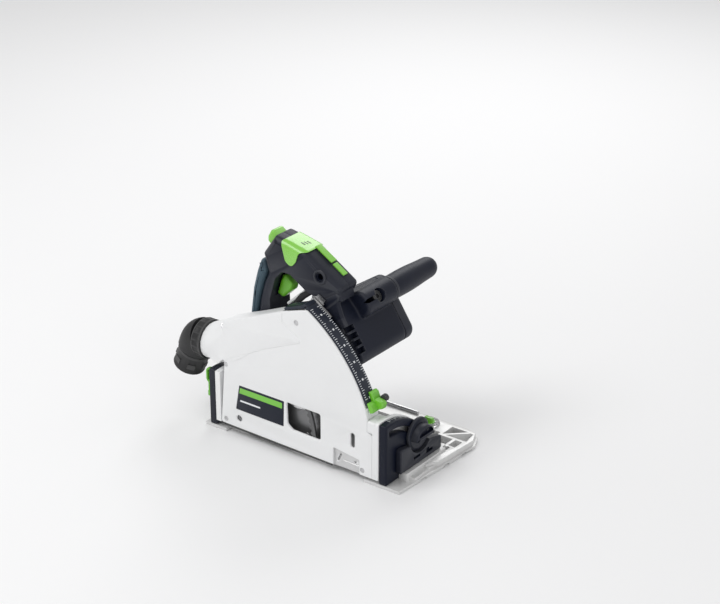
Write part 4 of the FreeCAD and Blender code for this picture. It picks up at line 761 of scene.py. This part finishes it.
def front_knob():
    """Round clamp knob with a D-shaped wing."""
    face = BLOCK_FACE + 0.1
    bm = lathe_mesh([(0, 0), (20.4, 0), (20.9, 0.6), (20.9, 3.2), (20.0, 4.0), (18.6, 4.3),
                     (17.6, 5.0), (0, 5.0)], (face, *CLAMP), (1, 0, 0), 72, None,
                    lambda turn, reach: -0.5 * max(0, math.cos(10 * turn)) ** 6
                    if reach < 4.2 else 0)
    piece("front_knob_form", bm, NAVY, "front_tilt_knob")
    wing = arc((17.8, 17), 0, 180, 24, (CLAMP[0], CLAMP[1] - 3))
    wing = [wing[0] + (3,)] + wing[1:-1] + [wing[-1] + (3,)]
    bm = slab_mesh("yz", round_outline(wing), face + 3, face + 15.2, 0, 3.5)
    grip = piece("front_knob_wing", bm, NAVY, "front_tilt_knob", replace=False)
    hollow = round_outline(arc((14.0, 8.5), 0, 180, 24, (CLAMP[0], CLAMP[1] + 3)))
    carve(grip, tool(slab_mesh("yz", hollow, face + 11.8, face + 20)))
    dot = lathe_mesh([(0, 0), (1.4, 0), (1.4, 0.4), (0, 0.4)],
                     (face + 11.7, CLAMP[0] + 6.5, CLAMP[1] + 5.5), (1, 0, 0), 20)
    piece("front_knob_dot", dot, BLACK, "front_tilt_knob", replace=False)


def front_block():
    """Bearing block in front of the quadrant, scooped out round the knob."""
    face = BLOCK_FACE
    edge = round_outline([(8, 14.3, 1.5), (92, 14.3, 2), (92, 31, 2), (74, 36, 2), (8, 46.5, 3)])
    block = piece("front_block_form", slab_mesh("yz", edge, face, face + 7.2, 0.4, 1.6), NAVY,
                  "front_block")
    sweep = lathe_mesh([(0, -3), (22.6, -3), (22.6, 12), (0, 12)], (face, *CLAMP), (1, 0, 0), 56)
    carve(block, tool(sweep))
    slots = bmesh.new()
    slab_mesh("yz", round_outline([(34, 22.5), (47, 22.5), (47, 26), (34, 26)], 0.5),
              face + 3, face + 12, bm=slots)
    slab_mesh("yz", round_outline([(60, 20), (73, 20), (73, 24), (66, 24), (66, 27), (60, 27)],
                                  0.5), face + 4, face + 12, bm=slots)
    carve(block, tool(slots))
    mark = slab_mesh("yz", round_outline([(37, 23.2), (44, 23.2), (44, 25), (37, 25)], 0.3),
                     face + 2.9, face + 3.6)
    piece("front_block_mark", mark, PRINT, "front_block", replace=False)


# ---------------------------------------------------------------- dust extraction

LEAN = math.radians(24)     # of the nozzle, back from upright
MIDDLE = Vector((-82, PORT_Y, 104))
FALL = Vector((-math.sin(LEAN), 0, -math.cos(LEAN)))
SIDE = Vector((0, 1, 0))


def tube_ring(spot, heading, radius, count=72):
    """A circle of points about a spot, square to its heading."""
    up = heading.cross(SIDE).normalized()
    return [spot + (SIDE * math.cos(2 * math.pi * i / count)
                    + up * math.sin(2 * math.pi * i / count)) * radius for i in range(count)]


def dust_elbow():
    """Ribbed rubber elbow, from a collar on the port to the swivel of the nozzle."""
    def ribs(turn, reach):
        return 0.9 * max(0, math.cos(18 * turn)) ** 2 if -12.5 < reach < -3.5 else 0
    profile = [(17.2, -15), (24.6, -14), (25.0, -12.5), (24.6, -12), (24.6, -4), (25.3, -3.2),
               (25.4, -0.6), (24.6, 0), (20.2, 0), (20.2, 0.2), (19.8, 0.3), (19.8, 9.5),
               (17.2, 9.5), (17.2, -15)]
    bm = lathe_mesh(profile, (-61.4, PORT_Y, PORT_Z), (1, 0, 0), 144, None, ribs)
    piece("elbow_collar", bm, RUBBER, "dust_elbow", angle=50)
    sections = []
    start, steps = Vector((-75, PORT_Y, PORT_Z)), 12
    end = MIDDLE + FALL * 17
    for k in range(steps + 1):
        t = k / steps
        a, b = start.lerp(MIDDLE, t), MIDDLE.lerp(end, t)
        radius = mix(24.2, 22.6, t) + 0.5 * math.sin(math.pi * t)
        sections.append(tube_ring(a.lerp(b, t), (b - a).normalized(), radius))
    for drop, radius in ((17.2, 22.4), (17.7, 21.6)):
        sections.append(tube_ring(MIDDLE + FALL * drop, FALL, radius))
    bend = piece("elbow_bend", loft_mesh(sections), RUBBER, "dust_elbow", angle=60,
                 replace=False)
    hollow = lathe_mesh([(0, 2), (17.3, 2), (17.3, 40), (0, 40)], MIDDLE, FALL, 48)
    carve(bend, tool(hollow))


def dust_nozzle():
    """Straight rubber nozzle below the elbow, with six pads round it."""
    base = MIDDLE + FALL * 18
    profile = [(17.5, 0), (20.0, 0), (20.2, 1.2), (21.2, 1.8), (21.2, 5.0), (20.5, 5.8),
               (20.3, 27.0), (20.7, 28.0), (20.4, 29), (18.3, 29), (17.5, 28), (17.5, 0)]
    piece("nozzle_form", lathe_mesh(profile, base, FALL, 96), RUBBER, "dust_nozzle", angle=50)
    up = FALL.cross(SIDE).normalized()
    bm = bmesh.new()
    for k in range(6):
        turn = math.radians(60 * k + 20)
        out = SIDE * math.cos(turn) + up * math.sin(turn)
        across = FALL.cross(out)
        brick(bm, [base + out * r + across * a + FALL * b for r in (19.6, 20.9)
                   for a, b in ((-5, 14), (5, 14), (5, 21), (-5, 21))])
    piece("nozzle_pads", bm, RUBBER, "dust_nozzle", replace=False)


# ---------------------------------------------------------------- handle

NEAR, MIDDLE_Y, FAR = 17.0, 36.0, 55.0
SEAM = 0.3              # between the two shells
SHELL_ROUND = 7.5
KEY_SEAT = (201, NEAR, 114)
CREST, BACK = (163.5, 180.8, 2), (134, 169.4, 3)     # ends of the face with the lock button
SHELL_EDGE = [(97.6, 60, 1), (97.6, 84.4, 1), (214, 84.4, 3), (222, 90, 6), (196.7, 146.8, 9),
              (177.8, 167, 7), CREST, BACK, (127, 146, 4), (112, 136.5, 9),
              (95, 121.9, 9), (82.6, 108.5, 9), (62, 80, 9), (56, 62, 2)]
OPENING = [(98, 93, 3), (112, 116.5, 8), (135, 135.5, 4), (150, 139, 6), (160, 132, 6),
           (171, 107, 6), (182, 93, 3)]
GRIP_EDGE = [(52, 84, 3), (70, 111.5, 40), (94, 138.5, 40), (112, 154, 20), (134.0, 169.2, 7),
             (125.8, 147.4, 3), (111.7, 137.5, 9), (94.7, 122.9, 9), (82.3, 109.5, 9),
             (61.5, 81.4, 2)]


BUTTON_ROOM = [(147.9, 164.6), (165.2, 171.3), (159.4, 187), (141, 180)]
TRIGGER_ROOM = [(137, 141), (141.8, 136), (146.6, 119.6, 5), (138, 112, 4), (119, 108, 4),
                (110.6, 120, 2), (118, 131)]


def handle():
    """Two moulded shells round the hand opening, with room for the button and the trigger."""
    edge = round_outline(SHELL_EDGE)
    opening = round_outline(OPENING)
    sides = (("handle_near_shell", NEAR, MIDDLE_Y - SEAM / 2, SHELL_ROUND, SEAM),
             ("handle_far_shell", MIDDLE_Y + SEAM / 2, FAR, SEAM, SHELL_ROUND))
    for name, start, end, round_start, round_end in sides:
        bm = slab_mesh("xz", edge, start, end, round_start, round_end)
        shell = piece(name + "_form", bm, NAVY, name, head=True, angle=40)
        hole = slab_mesh("xz", opening, start - 2, end + 2)
        carve(shell, tool(hole, head=True))
        room = slab_mesh("xz", round_outline(BUTTON_ROOM), MIDDLE_Y - 10.4, MIDDLE_Y + 10.4)
        carve(shell, tool(room, head=True))
        slot = slab_mesh("xz", round_outline(TRIGGER_ROOM), 27.9, 44.1)
        carve(shell, tool(slot, head=True), own_folds=True)
        if start == NEAR:
            key = lathe_mesh([(0, -4), (5.6, -4), (5.6, 1.2), (4.2, 1.2), (4.2, 14), (0, 14)],
                             KEY_SEAT, (0, 1, 0), 40)
            carve(shell, tool(key, head=True))
    bm = slab_mesh("xz", round_outline(GRIP_EDGE), NEAR - 0.2, FAR + 0.2, 6.5, 6.5, steps=7)
    piece("soft_grip_form", bm, GRIP, "soft_grip", head=True, angle=50)
    ring = [(6.6, -0.3), (7.0, -0.9), (8.6, -0.9), (9.2, -0.2), (9.2, 0.6), (6.6, 0.6),
            (6.6, -0.3)]
    bm = lathe_mesh(ring, KEY_SEAT, (0, 1, 0), 48)
    piece("key_ring", bm, NAVY, "handle_near_shell", head=True, replace=False)


LOBE_EDGE = [(178.4, 142.2, 6), (168.0, 138.8, 8), (163.6, 148.4, 8), (171.6, 172.4, 1.5),
             (181.0, 171.6, 2), (201.6, 149.6, 2), (199.4, 145.4, 2), (188.6, 150.4, 7)]


def change_lever():
    """Green skin over the handle with a rounded lobe on each side and a tongue in front."""
    skin = 1.2
    side = round_outline(LOBE_EDGE)
    saddle = piece("change_lever_form", slab_mesh("xz", side, NEAR - skin, FAR + skin),
                   GREEN_HIGHLIT, "change_lever", head=True, angle=45)
    grown = offset(round_outline(SHELL_EDGE, step=7), -skin)
    grown = grown if area(grown) > 0 else grown[::-1]
    outside = slab_mesh("xz", grown, NEAR - skin, FAR + skin, 8.5, 8.5, steps=9)
    carve(saddle, tool(outside, head=True), "INTERSECT", True)
    core = slab_mesh("xz", round_outline(SHELL_EDGE, step=7), NEAR, FAR, SHELL_ROUND,
                     SHELL_ROUND, steps=9)
    carve(saddle, tool(core, head=True), own_folds=True)
    tongue = slab_mesh("xz", round_outline([(198.4, 149.0, 0.6), (210.4, 123.6, 0.6),
                                            (208.6, 122.6, 0.3), (196.6, 148.0, 0.6)]),
                       37.5, 47.5, 0.7, 0.7)
    piece("change_tongue", tongue, GREEN_HIGHLIT, "change_lever", head=True, replace=False)
    inlay = slab_mesh("xz", round_outline([(209.9, 121.2), (217.6, 103.9), (215.2, 102.8),
                                           (207.6, 120.2)], 0.5), 38.5, 46.5, 0.6, 0.6)
    piece("front_inlay", inlay, GREEN_HIGHLIT, "handle_near_shell", head=True, replace=False)
    direction = Vector((196.7 - 177.8, 0, 146.8 - 167.0)).normalized()
    normal = Vector((-direction.z, 0, direction.x))
    # Three black bars stand in for the lever's slots: painted shade of the slot recesses, which
    # are not cut.
    marks = bmesh.new()
    for k in range(3):
        start = Vector((187.2, 0, 156.9)) + direction * 1.2 * k + normal * skin
        side = Vector((0, 30.5 + 4.2 * k, 0))
        brick(marks, [start + direction * a + normal * lift + side + Vector((0, b, 0))
                      for lift in (-0.3, 0.15)
                      for a, b in ((-3.2, 0), (3.2, 0), (3.2, 1.7), (-3.2, 1.7))])
    piece("lever_slots_painted_shade", marks, BLACK, "change_lever", head=True, replace=False)


def lock_button():
    """Round-edged push button on the sloping rear face of the handle."""
    (u0, w0), (u1, w1) = BACK[:2], CREST[:2]

    def on_face(reach, height):
        lean = math.atan2(w1 - w0, u1 - u0)
        return (u0 + reach * math.cos(lean) - height * math.sin(lean),
                w0 + reach * math.sin(lean) + height * math.cos(lean))
    side = [on_face(11.5, -5.5), on_face(29.4, -5.5), on_face(29.4, 8.5) + (3,),
            on_face(26.5, 10.6) + (3,), on_face(17, 9.8) + (4,), on_face(11.5, 6) + (3,)]
    bm = slab_mesh("xz", round_outline(side), MIDDLE_Y - 10, MIDDLE_Y + 10, 3.0, 3.0)
    # The button uses the paler green, a painted highlight on its lit top.
    piece("lock_button_form", bm, GREEN_HIGHLIT, "lock_button", head=True, angle=45)


def trigger():
    """Green trigger in the hand opening."""
    side = [(136.4, 135.0, 1), (141, 133.4, 2), (145.6, 119.6, 5), (138, 113.6, 4),
            (120.5, 110.6, 4), (115, 118.4, 2)]
    bm = slab_mesh("xz", round_outline(side), 28.5, 43.5, 3.2, 3.2)
    piece("trigger_form", bm, GREEN, "trigger", head=True, angle=45)


# ---------------------------------------------------------------- motor

AUX = (210.0, 64.0)         # axis of the auxiliary handle
CASE_FRONT = 204            # front of the motor, lowered head
CASE_NEAR, CASE_FAR = 20, 108
AUX_SCREW = (216.5, 71, AUX[1])


def vents():
    """Cutter for the four air slots at the near edge of the motor's front."""
    cuts = bmesh.new()
    near, far, half = 13.5, 29.5, 3.5
    for w in (16.5, 26, 35.5, 45):
        slot = round_outline([(near, w - half), (far, w - half), (far, w + half),
                              (near, w + half)], 1)
        slab_mesh("yz", slot, CASE_FRONT - 8, CASE_FRONT + 5, bm=cuts)
    return tool(cuts, head=True)


def motor():
    """Motor housing with the boss of the auxiliary handle, and the ventilated end cap."""
    edge = round_outline([(98, 0, 4), (CASE_FRONT, 0, 13), (CASE_FRONT, 60, 3), (200, 84, 8),
                          (98, 84, 3)])
    bm = slab_mesh("xz", edge, CASE_NEAR, CASE_FAR, 1.5, 0.5)
    housing = piece("motor_form", bm, SLATE, "motor_housing", head=True)
    boss = lathe_mesh([(0, 0), (14.6, 0), (16.6, 2.5), (16.6, 57), (0, 57)],
                      (AUX[0], 46, AUX[1]), (0, 1, 0), 56)
    carve(housing, tool(boss, head=True), "UNION")
    fill = slab_mesh("xz", round_outline([(190, 50), (204, 52), (216, 50, 4), (223, 76, 6),
                                          (206, 83, 3), (190, 83)]), 46, 103, 4, 4)
    carve(housing, tool(fill, head=True), "UNION")
    melt(housing, 1.3, 7)
    carve(housing, vents())
    recess = lathe_mesh([(0, -2), (7.6, -2), (8.4, 6), (9.6, 14), (0, 14)], AUX_SCREW,
                        (1, 0, 0), 48)
    carve(housing, tool(recess, head=True))
    half = 2.6
    slot = slab_mesh("yz", round_outline([(46, AUX[1] - half), (64, AUX[1] - half),
                                          (64, AUX[1] + half), (46, AUX[1] + half)], 2),
                     219, 232)
    carve(housing, tool(slot, head=True))
    cap_edge = round_outline([(98, 0, 10), (CASE_FRONT, 0, 13), (CASE_FRONT, 60, 30),
                              (200, 84, 10), (98, 84, 10)])
    bm = slab_mesh("xz", cap_edge, CASE_FAR + 0.3, 126.9, 0.8, 8.5, steps=7)
    cap = piece("end_cap_form", bm, SLATE, "end_cap", head=True, angle=45)
    slits = bmesh.new()
    for u in range(116, 172, 7):
        slab_mesh("xz", round_outline([(u, 22), (u + 3, 22), (u + 3, 60), (u, 60)], 1.4), 123,
                  130, bm=slits)
    carve(cap, tool(slits, head=True), own_folds=True)
    ring_room = lathe_mesh([(0, 0), (17.6, 0), (17.6, 30), (0, 30)], (AUX[0], 103, AUX[1]),
                           (0, 1, 0), 56)
    carve(cap, tool(ring_room, head=True))


def cheek():
    """Side wall that carries the handle shell down on to the motor housing."""
    edge = round_outline([(99, 58, 6), (99, 90), (212, 90), (216, 84, 2), (207.5, 76, 6),
                          (204.0, 60, 6), (203.4, 30, 6), (176, 26, 20), (140, 58, 20)])
    wall = piece("motor_cheek", slab_mesh("xz", edge, NEAR + 0.4, 22, 3.2), NAVY,
                 "motor_housing", head=True, angle=45, replace=False)
    carve(wall, vents(), own_folds=True)
    foot = round_outline([(188, 76), (213.5, 77, 3), (217.6, 89, 10), (216.4, 101.5, 5),
                          (206, 104, 6), (188, 100)])
    piece("handle_foot", slab_mesh("xz", foot, NEAR + 1.6, 47, 4, 4), NAVY, "motor_housing",
          head=True, angle=45, replace=False)


def opening_lever():
    """Black lever and pale bar at the foot of the handle opening."""
    edge = round_outline([(128, 99.4, 1), (141, 101, 5), (158, 106.6, 4), (180, 107.4, 1),
                          (181, 100.4, 1), (160, 98.4, 6), (146, 95.8, 5), (130, 96.4, 1)])
    piece("opening_lever", slab_mesh("xz", edge, 19.5, 24.5, 1, 1), BLACK, "motor_housing",
          head=True, replace=False)
    bar = round_outline([(125, 103.4), (160, 108.4), (161, 104.6), (126, 99.8)], 1.2)
    piece("opening_bar", slab_mesh("xz", bar, 26, 34, 1, 1), WHITE, "motor_housing",
          head=True, replace=False)


def far_strip():
    """Pale cast lip of the guard beyond the upper part of the scale."""
    band = rim_band(199.5, 206.4, 52.4, 61.5, 14)
    piece("far_lip", slab_mesh("xz", band, 9.7, 13.4, 0.5, 0.8), SILVER, "guard_housing",
          replace=False)


def aux_handle():
    """Collar, slightly swelling and tapering grip, and a domed end."""
    profile = [(0, 0), (15.4, 0), (16.2, 0.6), (16.2, 3.6), (15.5, 4.4), (15.0, 5.2)]
    root, tip, start, length, dome = 15.0, 13.4, 6, 76, 14.4
    for k in range(13):
        t = k / 12
        swell = 0.7 * math.sin(math.pi * min(1, t * 1.25))
        profile.append((root + swell - (root - tip) * t * t, start + length * t))
    profile += arc((tip, dome), 0, 90, 12, (0, start + length))[1:]
    bm = lathe_mesh(profile, (AUX[0], 103.3, AUX[1]), (0, 1, 0), 72)
    piece("aux_handle_form", bm, SLATE, "aux_handle", head=True, angle=40)


def housing_screws():
    """Socket head screw in the recess of the auxiliary handle's boss."""
    profile = [(0, 0), (6.7, 0), (6.9, 0.3), (6.9, 3.8), (6.2, 4.5), (3.6, 4.5), (3.1, 2.6),
               (0, 2.6)]
    bm = lathe_mesh(profile, (216.2, 71, AUX[1]), (1, 0, 0), 48, None,
                    lambda turn, reach: 0.3 * math.cos(6 * turn) if reach < 3 else 0)
    piece("aux_screw_head", bm, DARK_STEEL, "housing_screws", head=True, replace=False)


# ---------------------------------------------------------------- table

def jaws():
    """Pale clear cup on the table round each green rail jaw."""
    ring = [(9.4, 0.1), (13.4, 0.1), (13.6, 1.2), (12.6, 3.4), (10.4, 4.6), (9.4, 4.4),
            (9.4, 0.1)]
    for end in ("front", "rear"):
        spot = [value * 1000 for value in JOINTS[end + "_jaw_turn"]["pos_m"]]
        name = end + "_rail_jaw"
        piece(name + "_cup", lathe_mesh(ring, spot, (0, 0, 1), 56), DOME, body="table")
        refine(name, 0.7, look=GREEN)


def table():
    """The casting, its slide strips and the rod between the jaws, with rounded edges."""
    refine("base_plate", 0.8, 2, CASTING)
    refine("glide_strips", 0.1, 1)
    refine("rail_rod", 0.3, 2, STEEL)


# ---------------------------------------------------------------- stage

CAMERA_SPOT = (1.311, -1.533, 1.088)
CAMERA_AIM = (-0.542, 0.732, -0.412)
LENS, SENSOR = 92.1, 36
WORLD_STRENGTH = 0.62


def area_light(name, spot, aim, power, size, color=(1, 1, 1)):
    data = bpy.data.lights.new(name, "AREA")
    data.energy = power
    data.size = size
    data.color = color
    lamp = bpy.data.objects.new(name, data)
    bpy.context.scene.collection.objects.link(lamp)
    lamp.location = spot
    lamp.rotation_euler = (Vector(aim) - Vector(spot)).to_track_quat("-Z", "Y").to_euler()


def stage():
    """Pale floor, soft studio light and the camera, all in metres."""
    bm = bmesh.new()
    size = 3.0
    bm.faces.new([bm.verts.new(p) for p in ((-size, -size, 0), (size, -size, 0),
                                            (size, size, 0), (-size, size, 0))])
    mesh = bpy.data.meshes.new("floor")
    bm.to_mesh(mesh)
    floor = bpy.data.objects.new("floor", mesh)
    floor.location.z = -0.0002
    mesh.materials.append(FLOOR)
    bpy.context.scene.collection.objects.link(floor)
    world = bpy.data.worlds.new("studio")
    world.use_nodes = True
    world.node_tree.nodes["Background"].inputs["Color"].default_value = (1, 1, 1, 1)
    world.node_tree.nodes["Background"].inputs["Strength"].default_value = WORLD_STRENGTH
    bpy.context.scene.world = world
    middle = (0.07, 0.05, 0.1)
    area_light("key", (-0.9, -1.2, 1.9), middle, 20, 1.1)
    area_light("fill", (1.8, -0.9, 1.0), middle, 5, 1.2)
    area_light("back", (-0.6, 1.6, 1.4), middle, 11, 1.0)
    scene = bpy.context.scene
    scene.view_settings.view_transform = "Standard"
    camera_data = bpy.data.cameras.new("camera")
    camera_data.lens = LENS
    camera_data.sensor_width = SENSOR
    camera = bpy.data.objects.new("camera", camera_data)
    scene.collection.objects.link(camera)
    camera.location = CAMERA_SPOT
    camera.rotation_euler = Vector(CAMERA_AIM).to_track_quat("-Z", "Y").to_euler()
    scene.camera = camera


dress_cad_nodes()
guard_cover()
facet()
duct_neck()
window_backing()
label()
screws()
far_strip()
depth_scale()
depth_stop()
quadrant("front_quadrant", 211, FRONT_SEGMENT)
quadrant("rear_quadrant", -48, REAR_SEGMENT)
front_marks()
front_bracket()
front_knob()
front_block()
dust_elbow()
dust_nozzle()
handle()
change_lever()
lock_button()
trigger()
motor()
cheek()
opening_lever()
aux_handle()
housing_screws()
jaws()
refine("undercut_lever", 0.7, look=GREEN)
table()
stage()
